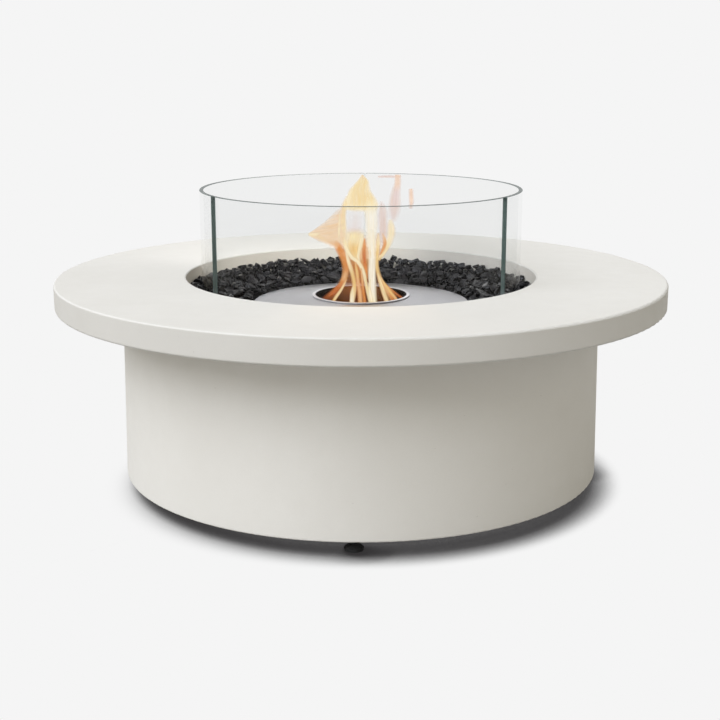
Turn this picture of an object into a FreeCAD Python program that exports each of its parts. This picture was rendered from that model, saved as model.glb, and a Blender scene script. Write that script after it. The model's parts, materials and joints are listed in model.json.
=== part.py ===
"""Round ethanol fire pit table: a cast table top on a drum, with a glass-screened burner in its opening.

Millimetres. The origin is on the floor under the table's centre, +Z is up and -Y is the front.
"""

import FreeCAD
import Part

import math
import os
import re

import Sketcher

SIZES = {
    # Cast table top: a thin skin with an outer rim, a collar round the opening and a seat ring between
    "top_radius": 635,
    "top_thickness": 50,
    "top_edge_round": 4,
    "opening_radius": 367,
    "opening_edge_round": 3,
    "skin_thickness": 16,
    "rim_thickness": 20,
    "collar_thickness": 27,
    "seat_margin": 6,
    "mould_taper": 2.5,
    "rib_count": 16,
    "rib_thickness": 14,
    "rib_depth": 20,
    # Drum: a tapered shell with a bolting flange inside its top and a foot flange inside its bottom
    "drum_height": 359,
    "drum_bottom_radius": 504,
    "drum_top_radius": 498,
    "drum_wall": 13,
    "top_flange_share": 0.66,
    "top_flange_thickness": 22,
    "foot_flange_width": 62,
    "foot_flange_thickness": 20,
    "drum_edge_round": 3,
    "inner_corner_round": 12,
    # Bolts that hold the top to the drum
    "bolt_count": 8,
    "bolt_radius": 5,
    "bolt_grip": 20,
    "bolt_head_radius": 9.8,
    "bolt_head_depth": 6.4,
    "bolt_hole_play": 0.6,
    "bolt_washer_radius": 10.5,
    "bolt_washer_thickness": 2,
    "bolt_washer_play": 0.5,
    "bolt_insert_radius": 8,
    "bolt_insert_length": 25,
    "insert_hole_spare": 2,
    "thread_play": 0.05,
    # Levelling feet
    "foot_gap": 28,
    "foot_inset": 40,
    "pad_radius": 18.5,
    "pad_edge_height": 5,
    "pad_hub_radius": 9.5,
    "pad_hub_height": 12,
    "pad_socket_radius": 5,
    "pad_floor": 4,
    "stem_radius": 6,
    "stem_collar_radius": 7.5,
    "stem_collar_height": 1,
    "stem_length": 68,
    "foot_boss_radius": 20,
    "foot_boss_height": 12,
    "foot_insert_radius": 10,
    "foot_washer_radius": 12,
    "foot_washer_thickness": 2,
    "lock_nut_radius": 10.9,
    "lock_nut_height": 6,
    # Fire tray: a pressed sheet bowl screwed up under the collar, with a well for the burner
    "tray_sheet": 1.5,
    "tray_wall_inset": 3,
    "tray_flange_margin": 2,
    "tray_depth": 40,
    "tray_bend": 4,
    "well_depth": 72,
    "gasket_thickness": 2,
    "tray_drain_count": 6,
    "tray_drain_radius": 4,
    "tray_screw_count": 12,
    "tray_screw_radius": 3,
    "tray_screw_grip": 13,
    "tray_screw_head_radius": 5.5,
    "tray_screw_head_depth": 3.5,
    "tray_hole_play": 0.4,
    "tray_insert_radius": 5,
    "tray_insert_length": 16,
    # Glass screen: three bent panels that stand in a channel on the tray's shelf
    "glass_set_in": 31,
    "glass_thickness": 8,
    "glass_height": 267,
    "glass_seam": 2,
    "glass_arris": 0.8,
    "channel_play": 1,
    "channel_sheet": 1.5,
    "channel_height": 24,
    "strip_thickness": 3,
    "strip_play": 0.2,
    "seat_play": 0.3,
    # Burner: a spun tank with a perforated flame guard, a neck, a coned cover and a lift-out mouth ring
    "tank_radius": 200,
    "tank_sheet": 1.5,
    "tank_corner_round": 12,
    "well_play": 8,
    "burner_pad_count": 4,
    "burner_pad_radius": 12,
    "burner_pad_height": 4,
    "burner_pad_inset": 50,
    "cover_overlap": 21.5,
    "cover_sheet": 2,
    "cover_skirt": 30.5,
    "cover_rise": 14,
    "cover_edge_round": 3,
    "lid_play": 0.3,
    "mouth_radius": 96,
    "ring_lip": 7.5,
    "ring_sheet": 1.4,
    "ring_rim_height": 2,
    "ring_spigot_depth": 18,
    "ring_play": 0.8,
    "neck_sheet": 1.2,
    "neck_depth": 30,
    "neck_flange_width": 12,
    "weld_gap": 0.2,
    "guard_play": 1.5,
    "guard_height": 42,
    "guard_sheet": 1.2,
    "guard_hole_radius": 6,
    "guard_hole_spacing": 28,
    "guard_outer_hole_radius": 10,
    "guard_outer_hole_inset": 44.5,
    "guard_outer_hole_count": 12,
    # Charcoal: two beds that rise from the burner to the wall, with loose stones on them
    "bed_low_height": 23,
    "bed_high_height": 53,
    "bed_play": 0.5,
    "lift_play": 1.5,
    "stone_width": 27,
    "stone_height": 13,
    "stone_pitch": 32,
    "stone_rest_gap": 0.15,
}

# Places that several pieces share, each as an expression of the sizes above
SLAB_UNDERSIDE = "(foot_gap + drum_height)"
COLLAR_OUTER = "(opening_radius + collar_thickness)"
DRUM_INNER = "(drum_top_radius - drum_wall)"
FLANGE_REACH = f"(({DRUM_INNER} - {COLLAR_OUTER}) * top_flange_share)"
FLANGE_INNER = f"({DRUM_INNER} - {FLANGE_REACH})"
BOLT_CIRCLE = f"({DRUM_INNER} - {FLANGE_REACH} / 2)"
BOLT_FACE = f"({SLAB_UNDERSIDE} - top_flange_thickness - bolt_washer_thickness)"
FOOT_CIRCLE = "(drum_bottom_radius - foot_inset)"
FOOT_INSERT_LENGTH = "(foot_flange_thickness + foot_boss_height)"
TRAY_WALL = "(opening_radius - tray_wall_inset)"
TRAY_FLANGE = f"({COLLAR_OUTER} - tray_flange_margin)"
TRAY_SCREW_CIRCLE = "(opening_radius + collar_thickness / 2)"
TRAY_TOP = f"({SLAB_UNDERSIDE} - gasket_thickness)"
SHELF_TOP = f"({TRAY_TOP} - tray_depth)"
WELL_TOP = f"({SHELF_TOP} - well_depth)"
WELL_RADIUS = "(tank_radius + well_play)"
GLASS_OUTER = "(opening_radius - glass_set_in)"
GLASS_INNER = f"({GLASS_OUTER} - glass_thickness)"
CHANNEL_OUTER = f"({GLASS_OUTER} + channel_play + channel_sheet)"
CHANNEL_INNER = f"({GLASS_INNER} - channel_play - channel_sheet)"
STRIP_TOP = f"({SHELF_TOP} + channel_sheet + strip_thickness)"
TANK_DEPTH = "(well_depth - burner_pad_height)"
TANK_FLOOR = f"({SHELF_TOP} + seat_play - {TANK_DEPTH})"
GUARD_RADIUS = "(tank_radius - tank_corner_round - guard_play)"
BURNER_PAD_CIRCLE = "(tank_radius - burner_pad_inset)"
COVER_RADIUS = f"({WELL_RADIUS} + cover_overlap)"
COVER_FOOT = f"({SHELF_TOP} + seat_play)"
NECK_BORE = "(mouth_radius + ring_sheet + ring_play)"
COVER_HOLE = f"({NECK_BORE} + neck_sheet)"
COVER_SLOPE = f"(cover_rise / ({COVER_RADIUS} - {COVER_HOLE}))"
RING_RADIUS = "(mouth_radius + ring_lip)"
COVER_TOP = "(cover_skirt + cover_rise)"
BED_START = f"({COVER_RADIUS} + lift_play)"
BED_END = f"({TRAY_WALL} - bed_play)"
BED_SLOPE = f"((bed_high_height - bed_low_height) / ({BED_END} - {BED_START}))"

FOOT_SIDES = {"front": (0, -1), "right": (1, 0), "back": (0, 1), "left": (-1, 0)}
PANEL_TURNS = {"front": -90, "right": 30, "left": 150}
GOLDEN = (math.sqrt(5) - 1) / 2
STONE_SIDES = 5

doc = FreeCAD.newDocument("FireTable")
sheet = doc.addObject("Spreadsheet::Sheet", "Sizes")
for row, (size_name, number) in enumerate(SIZES.items(), start=1):
    sheet.set(f"A{row}", size_name)
    sheet.set(f"B{row}", str(number))
    sheet.setAlias(f"B{row}", size_name)
doc.recompute()

pieces = []


def linked(text):
    """The expression with each size's name pointing at its cell."""
    return re.sub(r"[a-z_]+", lambda word: "Sizes." * (word[0] in SIZES) + word[0], text)


def value(text):
    return float(sheet.evalExpression(linked(text)))


def bind(item, **sizes):
    """Binds properties of an object to expressions; a double underscore in a name stands for a dot."""
    for name, text in sizes.items():
        item.setExpression(name.replace("__", "."), linked(str(text)))


def new_body(label, height="0"):
    body = doc.addObject("PartDesign::Body", label)
    body.Label = label
    bind(body, Placement__Base__z=height)
    pieces.append(body)
    return body


def origin_part(body, role):
    return next(part for part in body.Origin.OriginFeatures if part.Role == role)


def attach(item, body, plane, across="0", up="0"):
    item.AttachmentSupport = [(origin_part(body, plane), "")]
    item.MapMode = "FlatFace"
    bind(item, AttachmentOffset__Base__x=across)
    if plane == "XY_Plane":
        bind(item, AttachmentOffset__Base__z=up)


def outline(body, label, corners, across="0"):
    """A closed sketch of straight edges, upright through the axis; each corner is (radius, height)."""
    sketch = body.newObject("Sketcher::SketchObject", label)
    attach(sketch, body, "XZ_Plane", across)
    points = [FreeCAD.Vector(value(x), value(y), 0) for x, y in corners]
    count = len(points)
    for n in range(count):
        sketch.addGeometry(Part.LineSegment(points[n], points[(n + 1) % count]), False)
    for n in range(count):
        sketch.addConstraint(Sketcher.Constraint("Coincident", n, 2, (n + 1) % count, 1))
    for n, corner in enumerate(corners):
        for kind, axis, text, size in zip(("DistanceX", "DistanceY"), (-2, -1), corner, points[n]):
            if text == "0":
                sketch.addConstraint(Sketcher.Constraint("PointOnObject", n, 1, axis))
                continue
            number = sketch.addConstraint(Sketcher.Constraint(kind, -1, 1, n, 1, size))
            sketch.setExpression(f"Constraints[{number}]", linked(text))
    return sketch


def turn(body, label, corners, across="0", angle=None):
    """Revolves an outline round its own upright axis, all the way round or through an angle."""
    sketch = outline(body, label + "_outline", corners, across)
    solid = body.newObject("PartDesign::Revolution", label)
    solid.Profile = sketch
    solid.ReferenceAxis = (sketch, ["V_Axis"])
    solid.Angle = 360
    if angle:
        solid.Midplane = True
        bind(solid, Angle=angle)
    return solid


def primitive(body, kind, label, across, up, **sizes):
    """One of PartDesign's own primitives, upright, with its foot at a radius and a height."""
    solid = body.newObject("PartDesign::" + kind, label)
    attach(solid, body, "XY_Plane", across, up)
    bind(solid, **sizes)
    return solid


def hexagon(body, label, across, up, corner_radius, height):
    solid = primitive(body, "AdditivePrism", label, across, up, Circumradius=corner_radius, Height=height)
    solid.Polygon = 6
    return solid


def repeat(body, label, features, count):
    """Copies features round the body's axis; a body of separate copies is allowed as a compound."""
    pattern = body.newObject("PartDesign::PolarPattern", label)
    pattern.Originals = features
    pattern.Axis = (origin_part(body, "Z_Axis"), [""])
    pattern.Angle = 360
    bind(pattern, Occurrences=count)
    body.Tip = pattern
    return pattern


def drill(body, label, circle, up, radius, depth, count):
    hole = primitive(body, "SubtractiveCylinder", label, circle, up, Radius=radius, Height=depth)
    return repeat(body, label + "_circle", [hole], count)


def soften(body, kind, label, size, rings):
    """Rounds or bevels the circular edges that lie at the given (radius, height) places."""
    doc.recompute()
    base = body.Tip
    wanted = [(value(radius), value(height)) for radius, height in rings]
    names = []
    for n, edge in enumerate(base.Shape.Edges, start=1):
        if isinstance(edge.Curve, Part.Circle):
            place = edge.Curve.Radius, edge.Curve.Center.z
            if any(math.dist(place, ring) < 0.01 for ring in wanted):
                names.append(f"Edge{n}")
    solid = body.newObject("PartDesign::" + kind, label)
    solid.Base = (base, names)
    bind(solid, **{"Radius" if kind == "Fillet" else "Size": size})
    return solid


def make_table_top():
    body = new_body("table_top", SLAB_UNDERSIDE)
    skin = "top_thickness - skin_thickness"
    seat_inner = f"{FLANGE_INNER} - seat_margin"
    seat_outer = "drum_top_radius + seat_margin"
    rim_inner = "top_radius - rim_thickness"
    turn(body, "slab", [
        ("opening_radius", "0"),
        (COLLAR_OUTER, "0"),
        (f"{COLLAR_OUTER} + mould_taper", skin),
        (f"{seat_inner} - mould_taper", skin),
        (seat_inner, "0"),
        (seat_outer, "0"),
        (f"{seat_outer} + mould_taper", skin),
        (f"{rim_inner} - mould_taper", skin),
        (rim_inner, "0"),
        ("top_radius", "0"),
        ("top_radius", "top_thickness"),
        ("opening_radius", "top_thickness"),
    ])
    ribs = []
    for label, start, end in (
        ("inner_rib", COLLAR_OUTER, seat_inner),
        ("outer_rib", seat_outer, rim_inner),
    ):
        # Each rib reaches one taper's width into the rings on either side and into the skin
        rib = primitive(
            body, "AdditiveBox", label, start, f"{skin} - rib_depth",
            Length=f"{end} - {start}", Width="rib_thickness", Height="rib_depth + mould_taper",
            AttachmentOffset__Base__y="-rib_thickness / 2",
        )
        ribs.append(rib)
    repeat(body, "ribs", ribs, "rib_count")
    drill(body, "bolt_insert_holes", BOLT_CIRCLE, "0", "bolt_insert_radius + thread_play",
          "bolt_insert_length + insert_hole_spare", "bolt_count")
    drill(body, "tray_insert_holes", TRAY_SCREW_CIRCLE, "0", "tray_insert_radius + thread_play",
          "tray_insert_length + insert_hole_spare", "tray_screw_count")
    soften(body, "Fillet", "rim_round", "top_edge_round",
           [("top_radius", "top_thickness"), ("top_radius", "0")])
    soften(body, "Fillet", "opening_round", "opening_edge_round", [("opening_radius", "top_thickness")])


def make_base_drum():
    body = new_body("base_drum", "foot_gap")
    flange_under = "drum_height - top_flange_thickness"
    foot_flange_inner = "drum_bottom_radius - foot_flange_width"
    turn(body, "shell", [
        ("drum_bottom_radius", "0"),
        ("drum_top_radius", "drum_height"),
        (FLANGE_INNER, "drum_height"),
        (FLANGE_INNER, flange_under),
        (DRUM_INNER, flange_under),
        ("drum_bottom_radius - drum_wall", "foot_flange_thickness"),
        (foot_flange_inner, "foot_flange_thickness"),
        (foot_flange_inner, "0"),
    ])
    boss = primitive(body, "AdditiveCylinder", "foot_boss", FOOT_CIRCLE, "0",
                     Radius="min(foot_boss_radius, foot_inset - drum_wall / 2)", Height=FOOT_INSERT_LENGTH)
    repeat(body, "foot_bosses", [boss], len(FOOT_SIDES))
    drill(body, "foot_insert_holes", FOOT_CIRCLE, "0", "foot_insert_radius + thread_play",
          FOOT_INSERT_LENGTH, len(FOOT_SIDES))
    drill(body, "bolt_holes", BOLT_CIRCLE, flange_under, "bolt_radius + bolt_hole_play",
          "top_flange_thickness", "bolt_count")
    soften(body, "Fillet", "flange_corner",
           f"min(inner_corner_round, {FLANGE_REACH} / 2 - bolt_washer_radius - bolt_washer_play)",
           [(DRUM_INNER, flange_under)])
    soften(body, "Fillet", "bottom_round", "drum_edge_round", [("drum_bottom_radius", "0")])


def make_top_fasteners():
    bolts = new_body("top_bolts", f"{BOLT_FACE} - bolt_head_depth")
    head = hexagon(bolts, "head", BOLT_CIRCLE, "0", "bolt_head_radius", "bolt_head_depth")
    shank = primitive(bolts, "AdditiveCylinder", "shank", BOLT_CIRCLE, "bolt_head_depth",
                      Radius="bolt_radius",
                      Height="bolt_washer_thickness + top_flange_thickness + bolt_grip")
    repeat(bolts, "bolts", [head, shank], "bolt_count")
    bush_ring("top_washers", BOLT_FACE, BOLT_CIRCLE, "bolt_radius + bolt_hole_play",
              "bolt_washer_radius", "bolt_washer_thickness", "bolt_count")
    bush_ring("top_inserts", SLAB_UNDERSIDE, BOLT_CIRCLE, "bolt_radius + thread_play",
              "bolt_insert_radius", "bolt_insert_length", "bolt_count")


def bush_ring(label, height, circle, bore, radius, length, count):
    """A circle of plain bushes or washers, all in one body."""
    body = new_body(label, height)
    bush = turn(body, "bush", [(bore, "0"), (radius, "0"), (radius, length), (bore, length)], circle)
    repeat(body, "circle", [bush], count)
    return body


def make_feet():
    bush_ring("foot_inserts", "foot_gap", FOOT_CIRCLE, "stem_radius + thread_play",
              "foot_insert_radius", FOOT_INSERT_LENGTH, len(FOOT_SIDES))
    bush_ring("foot_washers", "foot_gap - foot_washer_thickness", FOOT_CIRCLE,
              "stem_radius + bolt_hole_play", "foot_washer_radius", "foot_washer_thickness", len(FOOT_SIDES))
    nuts = new_body("foot_lock_nuts", "foot_gap - foot_washer_thickness - lock_nut_height")
    nut = hexagon(nuts, "nut", FOOT_CIRCLE, "0", "lock_nut_radius", "lock_nut_height")
    repeat(nuts, "nuts", [nut], len(FOOT_SIDES))
    drill(nuts, "threads", FOOT_CIRCLE, "0", "stem_radius + thread_play", "lock_nut_height", len(FOOT_SIDES))
    for side, (toward_x, toward_y) in FOOT_SIDES.items():
        pad = new_body("foot_pad_" + side)
        turn(pad, "pad", [
            ("0", "0"),
            ("pad_radius", "0"),
            ("pad_radius", "pad_edge_height"),
            ("pad_hub_radius", "pad_hub_height"),
            ("pad_socket_radius + thread_play", "pad_hub_height"),
            ("pad_socket_radius + thread_play", "pad_floor"),
            ("0", "pad_floor"),
        ])
        stem = new_body("foot_stem_" + side, "pad_floor")
        collar = "pad_hub_height - pad_floor"
        shoulder = f"{collar} + stem_collar_height"
        turn(stem, "stem", [
            ("0", "0"),
            ("pad_socket_radius", "0"),
            ("pad_socket_radius", collar),
            ("stem_collar_radius", collar),
            ("stem_collar_radius", shoulder),
            ("stem_radius", shoulder),
            ("stem_radius", "stem_length"),
            ("0", "stem_length"),
        ])
        for body in (pad, stem):
            bind(body, Placement__Base__x=f"{FOOT_CIRCLE} * {toward_x}",
                 Placement__Base__y=f"{FOOT_CIRCLE} * {toward_y}")


def make_fire_tray():
    body = new_body("fire_tray", f"{WELL_TOP} - tray_sheet")
    shelf = "tray_sheet + well_depth"
    flange = f"{shelf} + tray_depth"
    turn(body, "bowl", [
        ("0", "0"),
        (f"{WELL_RADIUS} + tray_sheet", "0"),
        (f"{WELL_RADIUS} + tray_sheet", "well_depth"),
        (f"{TRAY_WALL} + tray_sheet", "well_depth"),
        (f"{TRAY_WALL} + tray_sheet", f"{flange} - tray_sheet"),
        (TRAY_FLANGE, f"{flange} - tray_sheet"),
        (TRAY_FLANGE, flange),
        (TRAY_WALL, flange),
        (TRAY_WALL, shelf),
        (WELL_RADIUS, shelf),
        (WELL_RADIUS, "tray_sheet"),
        ("0", "tray_sheet"),
    ])
    soften(body, "Fillet", "outer_bends", "tray_bend + tray_sheet",
           [(f"{TRAY_WALL} + tray_sheet", "well_depth"), (f"{WELL_RADIUS} + tray_sheet", "0")])
    soften(body, "Fillet", "inner_bends", "tray_bend", [(TRAY_WALL, shelf), (WELL_RADIUS, "tray_sheet")])
    drill(body, "shelf_drains", f"({BED_START} + {CHANNEL_INNER}) / 2", "well_depth", "tray_drain_radius",
          "tray_sheet", "tray_drain_count")
    drill(body, "well_drains", f"{BURNER_PAD_CIRCLE} / 2", "0", "tray_drain_radius",
          "tray_sheet", "tray_drain_count")
    drill(body, "screw_holes", TRAY_SCREW_CIRCLE, f"{flange} - tray_sheet",
          "tray_screw_radius + tray_hole_play", "tray_sheet", "tray_screw_count")

    gasket = new_body("tray_gasket", TRAY_TOP)
    turn(gasket, "seal", [
        ("opening_radius", "0"),
        (TRAY_FLANGE, "0"),
        (TRAY_FLANGE, "gasket_thickness"),
        ("opening_radius", "gasket_thickness"),
    ])
    drill(gasket, "screw_holes", TRAY_SCREW_CIRCLE, "0", "tray_screw_radius + tray_hole_play",
          "gasket_thickness", "tray_screw_count")

    screws = new_body("tray_screws", f"{TRAY_TOP} - tray_sheet - tray_screw_head_depth")
    tip = "tray_screw_head_depth + tray_sheet + gasket_thickness + tray_screw_grip"
    screw = turn(screws, "screw", [
        ("0", "0"),
        ("tray_screw_head_radius * 0.7", "0"),
        ("tray_screw_head_radius", "tray_screw_head_depth * 0.6"),
        ("tray_screw_head_radius", "tray_screw_head_depth"),
        ("tray_screw_radius", "tray_screw_head_depth"),
        ("tray_screw_radius", tip),
        ("0", tip),
    ], TRAY_SCREW_CIRCLE)
    repeat(screws, "screws", [screw], "tray_screw_count")
    bush_ring("tray_inserts", SLAB_UNDERSIDE, TRAY_SCREW_CIRCLE, "tray_screw_radius + thread_play",
              "tray_insert_radius", "tray_insert_length", "tray_screw_count")


def make_glass_screen():
    channel = new_body("glass_channel", SHELF_TOP)
    turn(channel, "channel", [
        (CHANNEL_INNER, "0"),
        (CHANNEL_OUTER, "0"),
        (CHANNEL_OUTER, "channel_height"),
        (f"{CHANNEL_OUTER} - channel_sheet", "channel_height"),
        (f"{CHANNEL_OUTER} - channel_sheet", "channel_sheet"),
        (f"{CHANNEL_INNER} + channel_sheet", "channel_sheet"),
        (f"{CHANNEL_INNER} + channel_sheet", "channel_height"),
        (CHANNEL_INNER, "channel_height"),
    ])
    strip = new_body("glass_seat_strip", f"{SHELF_TOP} + channel_sheet")
    strip_inner = f"{CHANNEL_INNER} + channel_sheet + strip_play"
    strip_outer = f"{CHANNEL_OUTER} - channel_sheet - strip_play"
    turn(strip, "strip", [
        (strip_inner, "0"),
        (strip_outer, "0"),
        (strip_outer, "strip_thickness"),
        (strip_inner, "strip_thickness"),
    ])
    for side, azimuth in PANEL_TURNS.items():
        panel = new_body("glass_panel_" + side, f"{STRIP_TOP} + seat_play")
        panel.Placement.Rotation = FreeCAD.Rotation(FreeCAD.Vector(0, 0, 1), azimuth)
        bent = turn(panel, "pane", [
            (GLASS_INNER, "0"),
            (GLASS_OUTER, "0"),
            (GLASS_OUTER, "glass_height"),
            (GLASS_INNER, "glass_height"),
        ], angle=f"360 / {len(PANEL_TURNS)} - glass_seam / {GLASS_OUTER} * 180 / pi")
        doc.recompute()
        arris = panel.newObject("PartDesign::Chamfer", "arris")
        arris.Base = (bent, [f"Edge{n + 1}" for n in range(len(bent.Shape.Edges))])
        bind(arris, Size="glass_arris")


def make_burner():
    pads = new_body("burner_pads", WELL_TOP)
    pad = primitive(pads, "AdditiveCylinder", "pad", BURNER_PAD_CIRCLE, "0",
                    Radius="burner_pad_radius", Height="burner_pad_height")
    repeat(pads, "pads", [pad], "burner_pad_count")

    tank = new_body("burner_tank", TANK_FLOOR)
    flange_edge = f"{COVER_RADIUS} - cover_sheet - lid_play"
    turn(tank, "pan", [
        ("0", "0"),
        ("tank_radius", "0"),
        ("tank_radius", TANK_DEPTH),
        (flange_edge, TANK_DEPTH),
        (flange_edge, f"{TANK_DEPTH} + tank_sheet"),
        ("tank_radius - tank_sheet", f"{TANK_DEPTH} + tank_sheet"),
        ("tank_radius - tank_sheet", "tank_sheet"),
        ("0", "tank_sheet"),
    ])
    soften(tank, "Fillet", "outer_corner", "tank_corner_round", [("tank_radius", "0")])
    soften(tank, "Fillet", "inner_corner", "tank_corner_round - tank_sheet",
           [("tank_radius - tank_sheet", "tank_sheet")])

    guard = new_body("flame_guard", f"{TANK_FLOOR} + tank_sheet")
    turn(guard, "pan", [
        (f"{GUARD_RADIUS} - guard_sheet", "0"),
        (GUARD_RADIUS, "0"),
        (GUARD_RADIUS, "guard_height"),
        ("0", "guard_height"),
        ("0", "guard_height - guard_sheet"),
        (f"{GUARD_RADIUS} - guard_sheet", "guard_height - guard_sheet"),
    ])
    plate = "guard_height - guard_sheet"
    for ring in (1, 2, 3):
        drill(guard, f"holes_{ring}", f"guard_hole_spacing * {ring}", plate, "guard_hole_radius",
              "guard_sheet", 6 * ring)
    drill(guard, "outer_holes", f"{GUARD_RADIUS} - guard_outer_hole_inset", plate,
          "guard_outer_hole_radius", "guard_sheet", "guard_outer_hole_count")

    cover = new_body("burner_cover", COVER_FOOT)
    turn(cover, "cone", [
        (f"{COVER_RADIUS} - cover_sheet", "0"),
        (COVER_RADIUS, "0"),
        (COVER_RADIUS, "cover_skirt"),
        (COVER_HOLE, COVER_TOP),
        (COVER_HOLE, f"{COVER_TOP} - cover_sheet"),
        (f"{COVER_RADIUS} - cover_sheet", "cover_skirt - cover_sheet"),
    ])
    soften(cover, "Fillet", "edge_round", "cover_edge_round", [(COVER_RADIUS, "cover_skirt")])

    # The neck hangs under the cover by a flange that lies along the cone
    under_hole = f"{COVER_TOP} - cover_sheet - weld_gap"
    under_flange = f"{under_hole} - neck_flange_width * {COVER_SLOPE}"
    foot = f"{under_hole} - neck_depth"
    neck = new_body("burner_neck", COVER_FOOT)
    turn(neck, "sleeve", [
        (NECK_BORE, foot),
        (COVER_HOLE, foot),
        (COVER_HOLE, f"{under_hole} - neck_sheet"),
        (f"{COVER_HOLE} + neck_flange_width", f"{under_flange} - neck_sheet"),
        (f"{COVER_HOLE} + neck_flange_width", under_flange),
        (COVER_HOLE, under_hole),
        (NECK_BORE, under_hole),
    ])

    ring = new_body("mouth_ring", f"{COVER_FOOT} + {COVER_TOP} + seat_play - ring_spigot_depth")
    spigot_outer = "mouth_radius + ring_sheet"
    rim_top = "ring_spigot_depth + ring_rim_height"
    turn(ring, "ring", [
        ("mouth_radius", "0"),
        (spigot_outer, "0"),
        (spigot_outer, "ring_spigot_depth"),
        (RING_RADIUS, "ring_spigot_depth"),
        (RING_RADIUS, rim_top),
        ("mouth_radius", rim_top),
    ])
    soften(ring, "Fillet", "rim_round", "ring_rim_height * 0.4",
           [(RING_RADIUS, rim_top), ("mouth_radius", rim_top)])


def bed_height(radius):
    """Height of the charcoal bed over the shelf, as an expression."""
    return f"(bed_low_height + ({radius} - {BED_START}) * {BED_SLOPE})"


def make_charcoal():
    for side, start, end in (
        ("inner", BED_START, f"({CHANNEL_INNER} - bed_play)"),
        ("outer", f"({CHANNEL_OUTER} + bed_play)", BED_END),
    ):
        body = new_body("charcoal_bed_" + side, SHELF_TOP)
        turn(body, "bed", [
            (start, "0"),
            (f"{end} - tray_bend", "0"),
            (end, "tray_bend"),
            (end, bed_height(end)),
            (start, bed_height(start)),
        ])
        stones = doc.addObject("Part::Feature", "charcoal_stones_" + side)
        stones.Label = "charcoal_stones_" + side
        stones.Shape = Part.Compound(list(stone_rows(value(start), value(end))))
        stones.Placement.Base.z = value(SHELF_TOP)
        pieces.append(stones)


def stone_rows(start, end):
    """Loose stones in staggered rows round one bed, each lying flat on its slope."""
    slope = value(BED_SLOPE)
    width = value("stone_width")
    rows = max(1, int((end - start) / width))
    step = (end - start) / rows
    number = 0
    for row in range(rows):
        radius = start + step * (row + 0.5)
        count = int(2 * math.pi * radius / value("stone_pitch"))
        for place in range(count):
            number += 1
            lump = stone(number, min(width, step) / 2, value("stone_height"))
            angle = 2 * math.pi * (place + row / 2) / count
            height = value(bed_height(f"{radius:.6f}")) + value("stone_rest_gap")
            lump.rotate(FreeCAD.Vector(0, 0, 0), FreeCAD.Vector(0, 1, 0), -math.degrees(math.atan(slope)))
            lump.rotate(FreeCAD.Vector(0, 0, 0), FreeCAD.Vector(0, 0, 1), math.degrees(angle))
            lump.translate(FreeCAD.Vector(radius * math.cos(angle), radius * math.sin(angle), height))
            yield lump


def spread(number):
    """An even spread of values from 0 to 1 over whole numbers."""
    return number * GOLDEN % 1


def stone(number, radius, height):
    """A broken lump with a flat foot, a smaller flat crown turned half a side and a facet at each corner."""
    tall = height * (0.7 + 0.3 * spread(number * 3))
    rings = []
    for level, (reach, z) in enumerate(((0.78, 0), (0.45, tall))):
        ring = []
        for side in range(STONE_SIDES):
            angle = 2 * math.pi * (side + level / 2 + spread(number)) / STONE_SIDES
            out = radius * (reach + 0.2 * spread(number * 7 + side * 5 + level * 3))
            ring.append(FreeCAD.Vector(out * math.cos(angle), out * math.sin(angle), z))
        rings.append(ring)
    foot, crown = rings
    faces = [Part.Face(Part.makePolygon(ring + ring[:1])) for ring in rings]
    for n in range(STONE_SIDES):
        after = (n + 1) % STONE_SIDES
        for corners in ((foot[n], foot[after], crown[n]), (crown[n], foot[after], crown[after])):
            faces.append(Part.Face(Part.makePolygon([*corners, corners[0]])))
    lump = Part.makeSolid(Part.makeShell(faces))
    return lump if lump.Volume > 0 else lump.reversed()


def check(piece):
    """Stops the build if a piece failed, is empty or isn't a sound solid."""
    for item in [piece, *getattr(piece, "Group", [])]:
        if "Invalid" in item.State or "Error" in item.State:
            raise RuntimeError(f"{piece.Label}: {item.Label} failed: {item.State}")
    shape = piece.Shape
    if shape.isNull() or not shape.isValid() or not shape.Solids or shape.Volume <= 0:
        raise RuntimeError(f"{piece.Label}: not a sound solid")


make_table_top()
make_top_fasteners()
make_base_drum()
make_feet()
make_fire_tray()
make_glass_screen()
make_burner()
make_charcoal()
doc.recompute()

os.makedirs("parts", exist_ok=True)
for piece in pieces:
    check(piece)
for piece in pieces:
    piece.Shape.exportStep(f"parts/{piece.Label}.step")
    print(f"{piece.Label}: {len(piece.Shape.Solids)} solids, {piece.Shape.Volume / 1000:.1f} cm3")
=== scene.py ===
import json
import math
import random

import bmesh
import bpy
import numpy as np
from mathutils import Euler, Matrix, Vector


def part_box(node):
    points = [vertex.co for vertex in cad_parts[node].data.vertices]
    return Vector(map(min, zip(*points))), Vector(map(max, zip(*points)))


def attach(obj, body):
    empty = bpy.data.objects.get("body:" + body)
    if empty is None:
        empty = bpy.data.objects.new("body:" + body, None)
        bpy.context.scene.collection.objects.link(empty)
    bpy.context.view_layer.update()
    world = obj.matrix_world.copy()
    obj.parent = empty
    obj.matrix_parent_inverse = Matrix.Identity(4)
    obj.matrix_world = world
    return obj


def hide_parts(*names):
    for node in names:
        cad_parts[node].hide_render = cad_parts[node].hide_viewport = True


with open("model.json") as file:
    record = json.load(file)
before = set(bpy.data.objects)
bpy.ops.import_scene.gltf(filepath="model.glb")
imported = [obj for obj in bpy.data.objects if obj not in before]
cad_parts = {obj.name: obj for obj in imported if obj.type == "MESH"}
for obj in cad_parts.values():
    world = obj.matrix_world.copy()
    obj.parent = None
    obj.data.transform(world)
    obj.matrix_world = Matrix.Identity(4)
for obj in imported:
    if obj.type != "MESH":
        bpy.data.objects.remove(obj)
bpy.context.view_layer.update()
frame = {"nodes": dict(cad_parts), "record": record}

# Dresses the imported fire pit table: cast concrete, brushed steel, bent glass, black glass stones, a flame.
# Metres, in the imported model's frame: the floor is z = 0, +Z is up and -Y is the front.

MM = 0.001
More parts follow.
